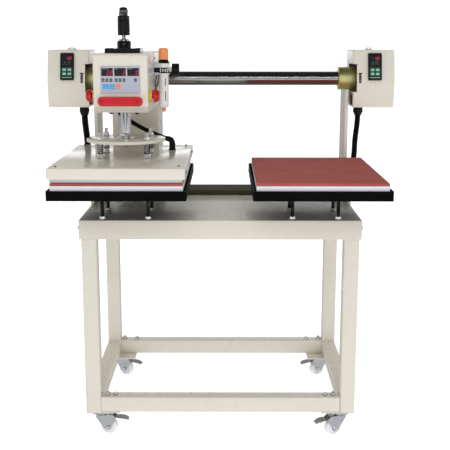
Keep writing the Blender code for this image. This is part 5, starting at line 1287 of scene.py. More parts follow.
dress(turned([(THIN_R + 0.0006, z), (0.0215, z), (0.0225, z + 0.001), (0.0225, z + 0.0205), (0.0215, z + 0.0222), (0.0150, z + 0.0228), (THIN_R + 0.0006, z + 0.0228)],
             (HX, PLATEN_Y, 0), "z", 96, closed=True), "cylinder_neck", "head", "black_anodised")
dress(turned([(THIN_R + 0.0006, z + 0.0226), (0.0190, z + 0.0226), (0.0197, z + 0.0232), (0.0197, z + 0.0272), (0.0190, z + 0.0282), (0.0125, z + 0.0284), (0.0118, z + 0.0290), (THIN_R + 0.0006, z + 0.0290)],
             (HX, PLATEN_Y, 0), "z", 96, closed=True), "neck_gland_ring", "head", "hard_chrome")
places = [to((HX + ix * 0.0415, PLATEN_Y + iy * 0.0415, ARM_Z0 + 0.0001), (0, 0, -1), 10) for ix in (-1, 1) for iy in (-1, 1)]
dress(copies(nut_on_stud(0.0096, 0.30), places), "tie_rod_nuts", "head", "black_oxide", 0.0003)
dress(ring(ROD_R + 0.0005, 0.0210, ARM_Z0 - 0.0062, ARM_Z0 - 0.0036, (HX, PLATEN_Y, 0), "z", 72, 0.0006), "rod_wiper", "head", "rubber")

# --------------------------------------------------------------- panel
PY = HEAD_FRONT_Y
panel = slab(HX - 0.0625, HX + 0.0625, 1.1710, 1.2570, 0.0035, PY - 0.0013, PY - GAP, 8)
dress(panel, "membrane_panel", "head", "panel_film", 0.0003, stands_for="control_panel")
F = PY - 0.0013
rim = slab(HX - 0.0608, HX + 0.0608, 1.1727, 1.2553, 0.0030, F - 0.00012, F + 0.0001, 8)
cut(rim, slab(HX - 0.0602, HX + 0.0602, 1.1733, 1.2547, 0.0026, F - 0.01, F + 0.01, 8))
dress(rim, "panel_border_line", "head", "key_mark")
win = [slab(HX + a, HX + b, 1.2257, 1.2502, 0.0010, F - 0.00035, F + 0.0001) for a, b in ((-0.0585, -0.0227), (-0.0180, 0.0177), (0.0224, 0.0585))]
dress(join(*win), "panel_windows", "head", "window", 0.0001)
red, off = [], []
for x_right, text in ((-0.0243, "22"), (0.0161, "2"), (0.0569, "0")):
    for k in range(3):
        px = HX + x_right - 0.0098 * (k + 1) + 0.0020
        ch = text[-1 - k] if k < len(text) else ""
        red += digit(ch, px, 1.2290, 0.0062, 0.0125, 0.0019, F - 0.00055, F - 0.0003)
        off += digit(ch, px, 1.2290, 0.0062, 0.0125, 0.0019, F - 0.00052, F - 0.0003, False)
dress(join(*red), "panel_digits", "head", "seg_red")
dress(join(*off), "panel_digits_unlit", "head", "segment_off")
dots = [slab(HX + a, HX + a + w, 1.2470, 1.2482, 0.0005, F - 0.00055, F - 0.0003) for a, w in ((-0.0560, 0.0200), (-0.0155, 0.0090), (0.0250, 0.0130))]
dress(join(*dots), "panel_window_lines", "head", "key_mark")
keys, marks = [], []
KEYS = ((-0.0535, "up"), (-0.0414, "down"), (-0.0290, "ring"), (-0.0127, "up"), (-0.0008, "down"), (0.0118, "ring"), (0.0473, "ring"))
for kx, kind in KEYS:
    cx, cz = HX + kx, 1.2132
    keys.append(slab(cx - 0.0042, cx + 0.0042, cz - 0.0052, cz + 0.0052, 0.0014, F - 0.00055, F + 0.0001))
    if kind == "ring":
        marks.append(ring(0.0012, 0.0022, F - 0.00068, F - 0.0005, (cx, 0, cz), "y", 32))
    else:
        sgn = 1 if kind == "up" else -1
        marks.append(prism([(cx - 0.0024, cz - 0.0016 * sgn), (cx + 0.0024, cz - 0.0016 * sgn), (cx, cz + 0.0024 * sgn)], "y", F - 0.00068, F - 0.0005))
dress(join(*keys), "panel_small_keys", "head", "key_dark", 0.0003)
dress(join(*marks), "panel_key_marks", "head", "key_mark")
dress(join(slab(HX - 0.0549, HX - 0.0367, 1.1852, 1.2002, 0.0016, F - 0.0006, F + 0.0001), slab(HX - 0.0336, HX - 0.0180, 1.1852, 1.2002, 0.0016, F - 0.0006, F + 0.0001)),
      "panel_blue_keys", "head", "key_blue", 0.0003)
dress(slab(HX - 0.0149, HX + 0.0006, 1.1852, 1.2002, 0.0016, F - 0.0006, F + 0.0001), "panel_orange_key", "head", "key_orange", 0.0003)
marks = []
for a, b in ((-0.0549, -0.0367), (-0.0336, -0.0180), (-0.0149, 0.0006)):
    cx = HX + (a + b) / 2
    marks.append(slab(cx - 0.0040, cx + 0.0040, 1.1888, 1.1896, 0.0003, F - 0.00072, F - 0.0005))
    marks.append(slab(cx - 0.0005, cx + 0.0005, 1.1915, 1.1965, 0.0003, F - 0.00072, F - 0.0005))
dress(join(*marks), "panel_key_lines", "head", "white_print")

# --------------------------------------------------------------- handle bar
bar_ = prism(round_rect(HX - 0.0700, HX + 0.0700, 1.1330, 1.1620, 0.0125, 12), "y", PY - 0.0240, PY - 0.0110)
bm = bmesh.new()
bm.from_mesh(bar_.data)
picked = [e for e in bm.edges if all(abs(v.co.y - e.verts[0].co.y) < 1e-6 for v in e.verts)]
bmesh.ops.bevel(bm, geom=picked, offset=0.0044, segments=7, profile=0.5, affect="EDGES", clamp_overlap=True)
bm.to_mesh(bar_.data)
bm.free()
for s in (-1, 1):
    cut(bar_, rod(0.0062, PY - 0.030, PY - 0.0225, (HX + s * 0.0555, 0, 1.1475), "y", 48))
dress(bar_, "handle_grip", "head", "red", sharp=50, stands_for="pull_handle")
dress(join(*[rod(0.0095, PY - 0.0125, PY - GAP, (HX + s * 0.0555, 0, 1.1475), "y", 48, 0.0008) for s in (-1, 1)]), "handle_standoffs", "head", "red")
screw = join(turned([(0.0002, 0), (0.0058, 0), (0.0058, 0.0008), (0.0002, 0.0008)], n=40), shift(pan_screw(0.0044), (0, 0, 0.0008)))
dress(copies(screw, [to((HX + s * 0.0555, PY - 0.0226, 1.1475), (0, -1, 0), 30 * s) for s in (-1, 1)]), "handle_screws", "head", "red")

# --------------------------------------------------------- emergency stops
for s, tag in ((-1, "left"), (1, "right")):
    flip = Matrix.Translation((HX, ESTOP_Y, ESTOP_Z)) @ (Matrix.Rotation(math.pi, 4, "Z") if s < 0 else Matrix.Identity(4))
    base = turned([(0.0108, HEAD_HALF), (0.0196, HEAD_HALF), (0.0205, HEAD_HALF + 0.0008), (0.0205, HEAD_HALF + 0.0076), (0.0192, HEAD_HALF + 0.0085), (0.0125, HEAD_HALF + 0.0086), (0.0108, HEAD_HALF + 0.0080)],
                  (0, 0, 0), "x", 96, closed=True, wave=lambda a, r, h: r - (0.0006 if (r > 0.0203 and (a * 180 / math.pi) % 15 < 4.0) else 0))
    dress(move(base, flip), "estop_yellow_ring_" + tag, "head", "yellow")
    btn = turned([(0.0098, 0.0805), (0.0098, 0.0975), (0.0110, 0.0985), (0.0150, 0.0988), (0.0188, 0.0990), (0.0199, 0.0996), (0.0203, 0.1008), (0.0203, 0.1058), (0.0200, 0.1078), (0.0190, 0.1108), (0.0172, 0.1138),
                  (0.0150, 0.1160), (0.0120, 0.1172), (0.0095, 0.1177), (0.0088, 0.1172), (0.0080, 0.1172), (0.0040, 0.1177), (0.0004, 0.1180)], (0, 0, 0), "x", 96,
                 wave=lambda a, r, h: r + (0.00035 * math.cos(a * 24) if 0.1000 < h < 0.1065 and r > 0.0199 else 0))
    dress(move(btn, flip), "estop_mushroom_" + tag, "estop_" + tag, "estop_red", stands_for="estop_button_" + tag)

# ------------------------------------------------- filter regulator
rc = (REG_X, REG_Y, 0)
dress(turned([(0.0196, 1.2590), (0.0206, 1.2594), (0.0206, 1.2606), (0.0190, 1.2630), (0.0172, 1.2665), (0.0160, 1.2690), (0.0155, 1.2706)], rc, "z", 96), "regulator_bell", "head", "black_plastic")
body = turned([(0.0170, 1.2300), (0.0200, 1.2440), (0.0205, 1.2446), (0.0205, 1.2578), (0.0200, 1.2588), (0.0150, 1.2590)], rc, "z", 96)
body = join(body,
            box(REG_X - 0.0225, REG_X + 0.0200, REG_Y - 0.0130, REG_Y + 0.0130, 1.2320, 1.2540, 0.0025, 4),
            rod(0.0100, REG_X + 0.0150, REG_X + 0.0230, (0, REG_Y, VALVE_Z), "x", 48, 0.0008),
            rod(0.0072, REG_X + 0.0220, REG_X + 0.0500, (0, REG_Y, VALVE_Z), "x", 48, 0.0006))
dress(body, "regulator_housing", "head", "grey_cast", 0.0004, stands_for="regulator_body")
# union nut round the body with light pointer teeth, held by the black bracket from the head
dress(turned([(0.0150, 1.2268), (0.0214, 1.2270), (0.0224, 1.2280), (0.0224, 1.2436), (0.0214, 1.2446), (0.0150, 1.2448)], rc, "z", 240,
             wave=lambda a, r, h: r - (0.0010 if (r > 0.0215 and math.sin(a * 18) > 0.25) else 0)), "regulator_union_nut", "head", "black_plastic")
teeth = []
for k in range(18):
    t_ = box(REG_X + 0.0210, REG_X + 0.0228, REG_Y - 0.0016, REG_Y + 0.0016, 1.2310 if k % 3 else 1.2290, 1.2410 if k % 3 else 1.2425, 0.0006, 2)
    teeth.append(turn(t_, 20 * k + 7, "Z", rc))
dress(join(*teeth), "union_nut_teeth", "head", "grey_cast")
dress(turned([(0.0150, 1.2218), (0.0198, 1.2220), (0.0205, 1.2227), (0.0205, 1.2256), (0.0198, 1.2263), (0.0150, 1.2269)], rc, "z", 96), "regulator_lower_rim", "head", "white_plastic")
bracket = join(box(HX + HEAD_HALF + GAP, HX + HEAD_HALF + 0.0026, REG_Y - 0.0240, REG_Y - 0.0040, 1.2160, 1.2660, 0.001, 2, along("x")),
               box(HX + HEAD_HALF + 0.0010, REG_X - 0.0140, REG_Y - 0.0150, REG_Y - 0.0110, 1.2200, 1.2620, 0.0008, 2, along("y")))
dress(bracket, "regulator_bracket", "head", "zinc", 0.0004)
arm = box(HX + HEAD_HALF + 0.0020, REG_X - 0.0120, REG_Y - 0.0185, REG_Y - 0.0150, 1.2285, 1.2445, 0.0012, 3, along("y"))
dress(arm, "regulator_clamp_arm", "head", "black_plastic", 0.0003)
dress(copies(pan_screw(0.0032), [to((HX + HEAD_HALF + 0.0025, REG_Y - 0.0195, z), (1, 0, 0), 25) for z in (1.2225, 1.2600)]), "bracket_screws", "head", "bright_nickel")
knob = turned([(0.0140, 1.2712), (0.0160, 1.2714), (0.0168, 1.2724), (0.0168, 1.2790), (0.0166, 1.2800), (0.0166, 1.2990), (0.0164, 1.3020), (0.0155, 1.3055), (0.0135, 1.3080), (0.0105, 1.3094), (0.0100, 1.3094), (0.0096, 1.3086), (0.0050, 1.3086), (0.0040, 1.3100), (0.0004, 1.3105)], rc, "z", 192,
              wave=lambda a, r, h: r - (0.0007 if (1.2795 < h < 1.3030 and r > 0.0160 and math.sin(a * 16) > 0.35) else 0))
dress(knob, "pressure_knob_ribbed", "pressure_knob", "orange", stands_for="regulator_knob")
bowl = turned([(0.0105, 1.1108), (0.0125, 1.1112), (0.0148, 1.1138), (0.0160, 1.1175), (0.0165, 1.1230), (0.0165, 1.2150), (0.0168, 1.2165), (0.0185, 1.2180), (0.0188, 1.2190), (0.0188, 1.2210), (0.0182, 1.2217), (0.0120, 1.2217)], rc, "z", 96)
for ang in (65, 245):
    for za, zb in ((1.1836, 1.2103), (1.1340, 1.1670)):
        slot_ = prism(round_rect(-0.0017, 0.0017, za, zb, 0.0016, 6), "y", -0.030, -0.0130)
        cut(bowl, move(slot_, Matrix.Translation((REG_X, REG_Y, 0)) @ Matrix.Rotation(math.radians(ang - 40 if ang == 65 else ang - 40), 4, "Z")))
dress(bowl, "filter_bowl_guard", "head", "white_plastic", stands_for="regulator_bowl")
dress(turned([(0.0128, 1.1180), (0.0134, 1.1190), (0.0134, 1.2140), (0.0128, 1.2150)], rc, "z", 64), "filter_inner_bowl", "head", "window_grey")
dress(turned([(0.0030, 1.0966), (0.0052, 1.0968), (0.0060, 1.0976), (0.0062, 1.0990), (0.0062, 1.1060), (0.0072, 1.1066), (0.0078, 1.1074), (0.0078, 1.1100), (0.0072, 1.1108), (0.0040, 1.1110)], rc, "z", 96,
             wave=lambda a, r, h: r - (0.0004 if (h < 1.1063 and r > 0.0059 and math.sin(a * 12) > 0.2) else 0)), "filter_drain_cock", "head", "orange")
prof = [(0.0082, 0.0282), (0.0190, 0.0280), (0.0200, 0.0290)]
h = 0.0305
while h < 0.0500:
    prof += [(0.0200, h), (0.0193, h + 0.0005), (0.0193, h + 0.0012), (0.0200, h + 0.0017)]
    h += 0.0034
prof += [(0.0200, 0.0515), (0.0190, 0.0525), (0.0082, 0.0525)]
dress(turned(prof, (REG_X, REG_Y, VALVE_Z), "x", 96, closed=True), "slide_valve_grip", "air_valve", "black_plastic", stands_for="slide_valve_sleeve")
# thin air tubes from the regulator round to a fitting on the head's side, and the fittings
tubes = [swept(bezier((REG_X - 0.0205, REG_Y + 0.004, 1.2300), (REG_X - 0.0240, REG_Y + 0.002, 1.205), (REG_X - 0.0300, REG_Y - 0.020, 1.205), (REG_X - 0.0255, REG_Y - 0.030, 1.172), 30), 0.0020, 16),
         swept(bezier((REG_X - 0.0150, REG_Y - 0.009, 1.2270), (REG_X - 0.0140, REG_Y - 0.016, 1.205), (REG_X - 0.0190, REG_Y - 0.040, 1.200), (REG_X - 0.0215, REG_Y - 0.052, 1.165), 30), 0.0020, 16),
         swept(bezier((REG_X - 0.0100, REG_Y + 0.010, 1.2280), (REG_X - 0.0120, REG_Y + 0.016, 1.190), (REG_X - 0.0280, REG_Y + 0.030, 1.190), (HX + rear_half - 0.0010, REG_Y + 0.036, 1.176), 30), 0.0020, 16)]
dress(join(*tubes), "air_tubes", "head", "tube")
fit = []
for p in ((REG_X - 0.0255, REG_Y - 0.030, 1.168), (REG_X - 0.0215, REG_Y - 0.052, 1.161)):
    fit.append(turned([(0.0022, 0.0), (0.0042, 0.0), (0.0046, 0.0006), (0.0046, 0.0070), (0.0040, 0.0078), (0.0022, 0.0078)], (p[0], p[1], p[2] - 0.002), "z", 40, closed=True))
    fit.append(rod(0.0040, HX + HEAD_HALF, p[0] + 0.0006, (0, p[1], p[2]), "x", 32, 0.0004))
dress(join(*fit), "push_in_fittings", "head", "black_plastic", 0.0002)

# ================================================================= press ram
pc = (HX, PLATEN_Y, 0)
piston_z = cyl_z0 + 0.0110
dress(turned([(ROD_R - 0.0008, DISC_Z1 + 0.0160), (ROD_R, DISC_Z1 + 0.0168), (ROD_R, piston_z), (0.0440, piston_z), (PISTON_R - 0.0006, piston_z + 0.0012), (PISTON_R - 0.0006, piston_z + 0.0208), (0.0440, piston_z + 0.022), (THIN_R, piston_z + 0.022),
              (THIN_R, SLEEVE_Z1 + 0.002)], pc, "z", 96), "chromed_piston_rod", "ram", "hard_chrome", stands_for="piston_rod")
dress(turned([(0.0282, DISC_Z1 + GAP), (0.0290, DISC_Z1 + 0.0010), (0.0290, DISC_Z1 + 0.0062), (0.0282, DISC_Z1 + 0.0070), (0.0170, DISC_Z1 + 0.0072)], pc, "z", 96), "rod_foot_flange", "ram", "bright_nickel")
dress(shift(hex_body(0.0400, 0.0092), (HX, PLATEN_Y, DISC_Z1 + 0.0071)), "rod_foot_nut", "ram", "bright_nickel", 0.0006)
# locking nuts over the stroke-stop sleeve
dress(shift(hex_body(0.0280, 0.0086, both=True), (HX, PLATEN_Y, SLEEVE_Z1 + GAP)), "stroke_lock_nut_lower", "ram", "dark_nickel", 0.0004)
dress(turn(shift(hex_body(0.0275, 0.0080, both=True), (HX, PLATEN_Y, SLEEVE_Z1 + 0.0105)), 22, "Z", (HX, PLATEN_Y, 0)), "stroke_lock_nut_upper", "ram", "dark_nickel", 0.0004)
dress(turned([(THIN_R, SLEEVE_Z1 + 0.0080), (0.0136, SLEEVE_Z1 + 0.0086), (0.0136, SLEEVE_Z1 + 0.0104), (THIN_R, SLEEVE_Z1 + 0.0108), (THIN_R, SLEEVE_Z1 + 0.0185), (0.0122, SLEEVE_Z1 + 0.0185),
              (0.0128, SLEEVE_Z1 + 0.0191), (0.0128, TOP_Z - 0.0044), (0.0116, TOP_Z - 0.0026), (0.0086, TOP_Z - 0.0020), (0.0084, TOP_Z - 0.0004), (0.0076, TOP_Z), (0.0002, TOP_Z)], pc, "z", 64),
      "ram_top_cap", "ram", "black_oxide")
dress(turned([(THIN_R + 0.0006, SLEEVE_Z0 + 0.0006), (THIN_R + 0.0012, SLEEVE_Z0), (0.0188, SLEEVE_Z0), (SLEEVE_R, SLEEVE_Z0 + 0.0012), (SLEEVE_R, SLEEVE_Z0 + 0.0085), (SLEEVE_R - 0.0007, SLEEVE_Z0 + 0.0092), (SLEEVE_R - 0.0007, SLEEVE_Z0 + 0.0106), (SLEEVE_R, SLEEVE_Z0 + 0.0113),
              (SLEEVE_R - 0.0003, SLEEVE_Z1 - 0.0085), (SLEEVE_R - 0.0009, SLEEVE_Z1 - 0.0080), (SLEEVE_R - 0.0009, SLEEVE_Z1 - 0.0068), (SLEEVE_R - 0.0004, SLEEVE_Z1 - 0.0062), (SLEEVE_R - 0.0004, SLEEVE_Z1 - 0.0010), (SLEEVE_R - 0.0014, SLEEVE_Z1), (THIN_R + 0.0006, SLEEVE_Z1)],
             pc, "z", 128, closed=True, wave=lambda a, r, h: r - (0.00025 if (r > 0.0196 and math.sin(a * 32) > 0.0) else 0)), "stroke_stop_knurled", "stop_sleeve", "black_anodised", stands_for="stroke_stop_sleeve")

# press disc with its four studs, nuts and springs
disc = turned([(DISC_R - 0.0012, DISC_Z0), (DISC_R - 0.0003, DISC_Z0 + 0.0004), (DISC_R, DISC_Z0 + 0.0014), (DISC_R, DISC_Z1 - 0.0014), (DISC_R - 0.0003, DISC_Z1 - 0.0004), (DISC_R - 0.0012, DISC_Z1)], pc, "z", 160)
spots = [(HX + ix * STUD_PITCH / 2, PLATEN_Y + iy * STUD_PITCH / 2) for ix in (-1, 1) for iy in (-1, 1)]
dress(disc, "press_disc_plate", "ram", "cream_gloss", stands_for="press_disc")
T = [Matrix.Translation((x, y, 0)) @ Matrix.Rotation(0.4 * k + 0.2, 4, "Z") for k, (x, y) in enumerate(spots)]
dress(copies(join(threaded(0.0060, 0.9376, 1.0440, 0.0015, n=32)), T), "press_studs", "ram", "bright_nickel")
dress(copies(join(shift(hex_body(0.0172, 0.0088, both=True), (0, 0, DISC_Z1 + 0.0018)), shift(turned([(0.0002, 0), (0.0108, 0), (0.0112, 0.0004), (0.0112, 0.0014), (0.0108, 0.0018), (0.0002, 0.0018)], n=48), (0, 0, DISC_Z1)),
                  turned([(0.0002, DISC_Z1 + 0.0170), (0.0050, DISC_Z1 + 0.0172), (0.0058, DISC_Z1 + 0.0182), (0.0058, DISC_Z1 + 0.0225), (0.0052, DISC_Z1 + 0.0243), (0.0034, DISC_Z1 + 0.0256), (0.0002, DISC_Z1 + 0.0260)], n=40)), T),
      "press_stud_nuts", "ram", "bright_nickel", 0.0003)
dress(copies(join(turned([(0.0002, 0.9612), (0.0118, 0.9612), (0.0122, 0.9616), (0.0122, 0.9626), (0.0118, 0.9630), (0.0002, 0.9630)], n=48), turned([(0.0002, 0.9628), (0.0096, 0.9630), (0.0100, 0.9636), (0.0100, 0.9760), (0.0094, 0.9768), (0.0002, 0.9770)], n=48)), T),
      "stud_spacers", "ram", "bright_nickel", 0.0002)
dress(copies(spring((0, 0), 0.0092, 0.00125, 0.9770, 1.0094, 6.5), T), "press_springs", "ram", "spring")

# heater cover, folded from sheet
y0, y1 = PLATEN_Y - 0.311, PLATEN_Y + 0.311
cov = box(HX - 0.2075, HX + 0.2075, y0, y1, COVER_Z0, COVER_Z1, 0.0032, 5, lambda d, m: abs(d.z) > 0.9 or m.z > COVER_Z1 - 0.001)
cut(cov, box(HX - 0.2055, HX + 0.2055, y0 + SHEET, y1 - SHEET, COVER_Z0 - 0.01, COVER_Z1 - SHEET))
for x, y in spots:
    cut(cov, rod(0.0072, COVER_Z1 - 0.01, COVER_Z1 + 0.01, (x, y, 0), "z", 40))
EL_X, EL_Y = -0.168, -0.086
cut(cov, rod(0.0085, COVER_Z1 - 0.01, COVER_Z1 + 0.01, (EL_X, EL_Y, 0), "z", 40),
    ring(0.0215, 0.0232, COVER_Z1 - 0.0004, COVER_Z1 + 0.01, (-0.3245, -0.4745, 0), "z", 96))
dress(cov, "heater_cover_sheet", "ram", "cream_gloss", 0.0003, stands_for="heater_cover")
places = [to((x, y, COVER_Z1 - 0.0001), (0, 0, 1), 25 * k) for k, (x, y) in enumerate(((-0.497, -0.5017), (-0.125, -0.4900), (-0.127, 0.060), (-0.495, 0.060), (-0.3419, 0.0459)))]
places += [to((HX + s * 0.2075, PLATEN_Y + dy, 0.9430), (s, 0, 0), 31) for s in (-1, 1) for dy in (-0.25, 0.25)]
dress(copies(pan_screw(0.0038), places), "heater_cover_screws", "ram", "black_oxide")
keep("upper_heat_plate", "aluminium")

# ------------------------------------------- heater cable
el_z = COVER_Z1
gland = join(shift(hex_body(0.0240, 0.0052), (EL_X, EL_Y, el_z + 0.0004)),
             turned([(0.0100, 0.0050), (0.0106, 0.0056), (0.0106, 0.0200), (0.0112, 0.0208), (0.0112, 0.0232), (0.0100, 0.0240)], (EL_X, EL_Y, el_z), "z", 64))
dress(gland, "cable_elbow_gland", "ram", "black_plastic", 0.0003)
elbow_path = bezier((EL_X, EL_Y, el_z + 0.020), (EL_X, EL_Y, el_z + 0.036), (EL_X - 0.006, EL_Y, el_z + 0.0385), (EL_X - 0.022, EL_Y - 0.0002, el_z + 0.0405), 24)
dress(swept(elbow_path, [0.0102 - 0.0012 * (i / 24) ** 2 for i in range(25)], 40), "cable_elbow", "ram", "black_plastic")
hose = (bezier((EL_X - 0.019, EL_Y - 0.0002, el_z + 0.0402), (EL_X - 0.075, EL_Y - 0.002, el_z + 0.062), (-0.295, -0.096, 1.046), (-0.344, -0.100, 1.0880), 60)
        + [Vector((-0.3472, -0.1003, 1.0940)), Vector((-0.3490, -0.1007, 1.1000)), Vector((-0.3500, -0.1010, 1.1065))])
cable = corrugated(hose, 0.0080, 0.0030, 0.0011, 26)
me = cable.data
me.materials.clear()
me.materials.append(M["conduit"])
me.shade_smooth()
me.set_sharp_from_angle(angle=math.radians(50))
cable.name = me.name = "heater_cable_conduit"
me.transform(Matrix.Translation((0, DATUM_Y, 0)))
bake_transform(cable)
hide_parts("heater_cable")
gl = join(shift(hex_body(0.0230, 0.0050), (-0.3500, -0.1010, HEAD_Z0 - 0.0056)), ring(0.0083, 0.0104, HEAD_Z0 - 0.0130, HEAD_Z0 - 0.0050, (-0.3500, -0.1010, 0), "z", 64, 0.0008))
dress(gl, "cable_head_gland", "head", "black_plastic", 0.0002)

# ======================================================= floor, light, camera
def stage_material(name, seen, mirrored_, spread, bounce):
    """Sweep that the camera sees as lit paper, and that gives the machine a softer bounce."""
    m, nt, bsdf = new_material(name)
    co = nt.nodes.new("ShaderNodeTexCoord")
    n = node(nt, "ShaderNodeTexNoise", Scale=0.8, Detail=3.0)
    nt.links.new(co.outputs["Object"], n.inputs["Vector"])
    r_ = node(nt, "ShaderNodeMapRange")
    r_.inputs["To Min"].default_value, r_.inputs["To Max"].default_value = bounce - 0.01, bounce + 0.01
    nt.links.new(n.outputs["Fac"], r_.inputs["Value"])
    place = nt.nodes.new("ShaderNodeNewGeometry")
    xyz = nt.nodes.new("ShaderNodeSeparateXYZ")
    nt.links.new(place.outputs["Position"], xyz.inputs["Vector"])

    def across(y0, y1, v0, v1):
        n = node(nt, "ShaderNodeMapRange")
        n.inputs["From Min"].default_value, n.inputs["From Max"].default_value = y0, y1
        n.inputs["To Min"].default_value, n.inputs["To Max"].default_value = v0, v1
        nt.links.new(xyz.outputs["Y"], n.inputs["Value"])
        return n.outputs["Result"]

    def both(how, a, b):
        n = nt.nodes.new("ShaderNodeMath")
        n.operation = how
        nt.links.new(a, n.inputs[0])
        nt.links.new(b, n.inputs[1])
        return n.outputs["Value"]

    nt.links.new(both("MULTIPLY", r_.outputs["Result"], across(0.9, 2.6, 1.0, 0.55)), bsdf.inputs["Base Color"])
    bsdf.inputs["Roughness"].default_value = 0.9
    bsdf.inputs["Specular IOR Level"].default_value = 0.0
    lp = nt.nodes.new("ShaderNodeLightPath")
    level = None
    for ray, amount in (("Is Camera Ray", seen), ("Is Glossy Ray", mirrored_), ("Is Diffuse Ray", spread)):
        k = nt.nodes.new("ShaderNodeMath")
        k.operation = "MULTIPLY"
        nt.links.new(lp.outputs[ray], k.inputs[0])
        if ray == "Is Glossy Ray":
            # what polished faces reflect depends on how high up the sweep they look
            geo = nt.nodes.new("ShaderNodeNewGeometry")
            sp = nt.nodes.new("ShaderNodeSeparateXYZ")
            nt.links.new(geo.outputs["Position"], sp.inputs["Vector"])
            high = nt.nodes.new("ShaderNodeMath")
            high.operation = "DIVIDE"
            high.inputs[1].default_value = 3.0
            nt.links.new(sp.outputs["Z"], high.inputs[0])
            steps = nt.nodes.new("ShaderNodeValToRGB")
            bar_ = steps.color_ramp
            while len(bar_.elements) < len(amount):
                bar_.elements.new(0.5)
            for el, (z, v) in zip(bar_.elements, amount):
                el.position = z / 3.0
                el.color = (v, v, v, 1)
            nt.links.new(high.outputs["Value"], steps.inputs["Fac"])
            nt.links.new(both("MAXIMUM", steps.outputs["Color"], across(-5.5, -1.5, 0.62, 0.12)), k.inputs[1])
        else:
            nt.links.new(across(0.9, 2.6, amount[0], amount[1]), k.inputs[1])
        if level:
            t = nt.nodes.new("ShaderNodeMath")
            t.operation = "MAXIMUM"
            nt.links.new(level, t.inputs[0])
            nt.links.new(k.outputs["Value"], t.inputs[1])
            level = t.outputs["Value"]
        else:
            level = k.outputs["Value"]
    bsdf.inputs["Emission Color"].default_value = (1, 1, 1, 1)
    nt.links.new(level, bsdf.inputs["Emission Strength"])
    return m


floor_m = stage_material("studio_floor", (0.72, 1.02), ((0.0, 0.12), (0.6, 0.24), (1.05, 0.26), (1.34, 1.6), (1.52, 1.3), (1.80, 0.50), (2.00, 0.14), (3.0, 0.22)), (0.54, 0.24), 0.74)
prof = [(-9.0, 0.0)] + [(4.2 + 2.2 * math.sin(math.radians(a)), 2.2 - 2.2 * math.cos(math.radians(a))) for a in range(0, 91, 6)] + [(6.4, 9.0)]
verts, faces = [], []
for k, (y, z) in enumerate(prof):
    verts += [(-9.0, y, z), (9.0, y, z)]
for k in range(len(prof) - 1):
    faces.append((2 * k, 2 * k + 1, 2 * k + 3, 2 * k + 2))
me = bpy.data.meshes.new("studio_sweep")
me.from_pydata(verts, [], faces)
me.shade_smooth()
me.materials.append(floor_m)
floor = link(me, "studio_sweep")
floor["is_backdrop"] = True

# room: pure white where it is seen, dimmer overhead and with darker bays at the sides for the metal to reflect
world = bpy.data.worlds.new("studio")
scene.world = world
world.use_nodes = True
wt = world.node_tree
bg = wt.nodes["Background"]
co = wt.nodes.new("ShaderNodeTexCoord")
sep = wt.nodes.new("ShaderNodeSeparateXYZ")
wt.links.new(co.outputs["Generated"], sep.inputs["Vector"])


def ramp(source, f0, f1, t0, t1, smooth=True):
    n = node(wt, "ShaderNodeMapRange")
    n.interpolation_type = "SMOOTHSTEP" if smooth else "LINEAR"
    n.inputs["From Min"].default_value, n.inputs["From Max"].default_value = f0, f1
    n.inputs["To Min"].default_value, n.inputs["To Max"].default_value = t0, t1
    wt.links.new(source, n.inputs["Value"])
    return n.outputs["Result"]


def maths(how, a, b):
    n = wt.nodes.new("ShaderNodeMath")
    n.operation = how
    for k, v in enumerate((a, b)):
        if isinstance(v, (int, float)):
            n.inputs[k].default_value = v
        elif v is not None:
            wt.links.new(v, n.inputs[k])
    return n.outputs["Value"]


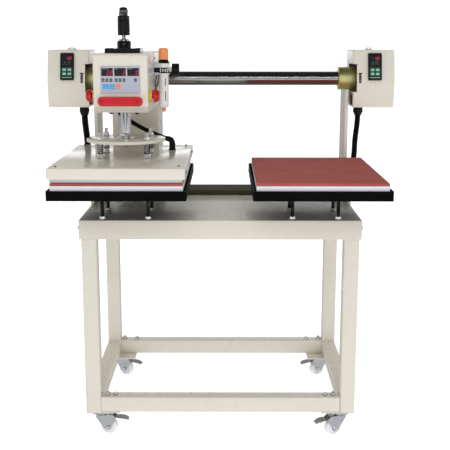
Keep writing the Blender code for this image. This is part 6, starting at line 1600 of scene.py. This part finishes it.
diffuse_room = ramp(sep.outputs["Z"], 0.02, 0.75, WORLD_LOW, WORLD_HIGH)
side = maths("ABSOLUTE", sep.outputs["X"], None)
diffuse_room = maths("MULTIPLY", diffuse_room, ramp(side, 0.30, 0.80, 1.0, 0.28))
bay = maths("MULTIPLY", ramp(side, 0.36, 0.46, 0.0, 1.0), ramp(side, 0.80, 0.90, 1.0, 0.0))
bay = maths("MULTIPLY", bay, ramp(sep.outputs["Y"], -0.05, 0.10, 1.0, 0.0))
mirror_room = maths("MULTIPLY", ramp(sep.outputs["Z"], 0.24, 0.44, 0.60, 0.03), maths("SUBTRACT", 1.0, maths("MULTIPLY", bay, 0.93)))
lp = wt.nodes.new("ShaderNodeLightPath")
strength = diffuse_room
for ray, value in (("Is Glossy Ray", mirror_room), ("Is Camera Ray", 1.0)):
    pick = wt.nodes.new("ShaderNodeMix")
    pick.data_type = "FLOAT"
    wt.links.new(lp.outputs[ray], pick.inputs["Factor"])
    wt.links.new(strength, pick.inputs["A"])
    if isinstance(value, float):
        pick.inputs["B"].default_value = value
    else:
        wt.links.new(value, pick.inputs["B"])
    strength = pick.outputs["Result"]
bg.inputs["Color"].default_value = (1.0, 1.0, 1.0, 1)
wt.links.new(strength, bg.inputs["Strength"])


def area(name, at, look, size, power, colour=(1, 1, 1), mirrored_=True):
    d = bpy.data.lights.new(name, "AREA")
    d.shape = "RECTANGLE"
    d.size, d.size_y = size
    d.energy = power
    d.color = colour
    o = bpy.data.objects.new(name, d)
    scene.collection.objects.link(o)
    o.visible_glossy = mirrored_
    o.location = Vector(at) + Vector((0, DATUM_Y, 0))
    o.rotation_mode = "QUATERNION"
    o.rotation_quaternion = (Vector(look) - Vector(at)).to_track_quat("-Z", "Y")
    return o


area("front_softbox", (0.2, -5.2, 0.45), (0.0, 0.0, 0.45), (3.4, 1.0), 38, (1.0, 0.99, 0.97), False)
area("strip_light", (0.0, -5.0, 3.05), (0.0, 0.0, 1.15), (5.0, 0.20), 26, (1.0, 1.0, 1.0))
area("side_softbox", (4.2, -0.8, 1.5), (0.0, 0.0, 0.80), (2.4, 2.6), 12, (1.0, 1.0, 1.0), False)

right = Vector((0.999997, 0.002370, 0.0))
yaw, pitch, roll = -0.002370, 0.205540, 0.0005
fwd = Vector((math.sin(yaw) * math.cos(pitch), math.cos(yaw) * math.cos(pitch), -math.sin(pitch)))
right = Vector((math.cos(yaw), -math.sin(yaw), 0.0))
up = right.cross(fwd)
r_, u_ = right * math.cos(roll) + up * math.sin(roll), -right * math.sin(roll) + up * math.cos(roll)
cam_data = bpy.data.cameras.new("camera")
cam_data.sensor_width = 36.0
cam_data.lens = 71.58
cam_data.clip_end = 60
cam = bpy.data.objects.new("camera", cam_data)
scene.collection.objects.link(cam)
m3 = Matrix((r_, u_, -fwd)).transposed()
cam.matrix_world = Matrix.Translation((0.02227, -3.18136 + DATUM_Y, 1.34037)) @ m3.to_4x4()
scene.camera = cam
scene.view_settings.view_transform = "Standard"

bpy.context.view_layer.update()
lo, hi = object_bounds()
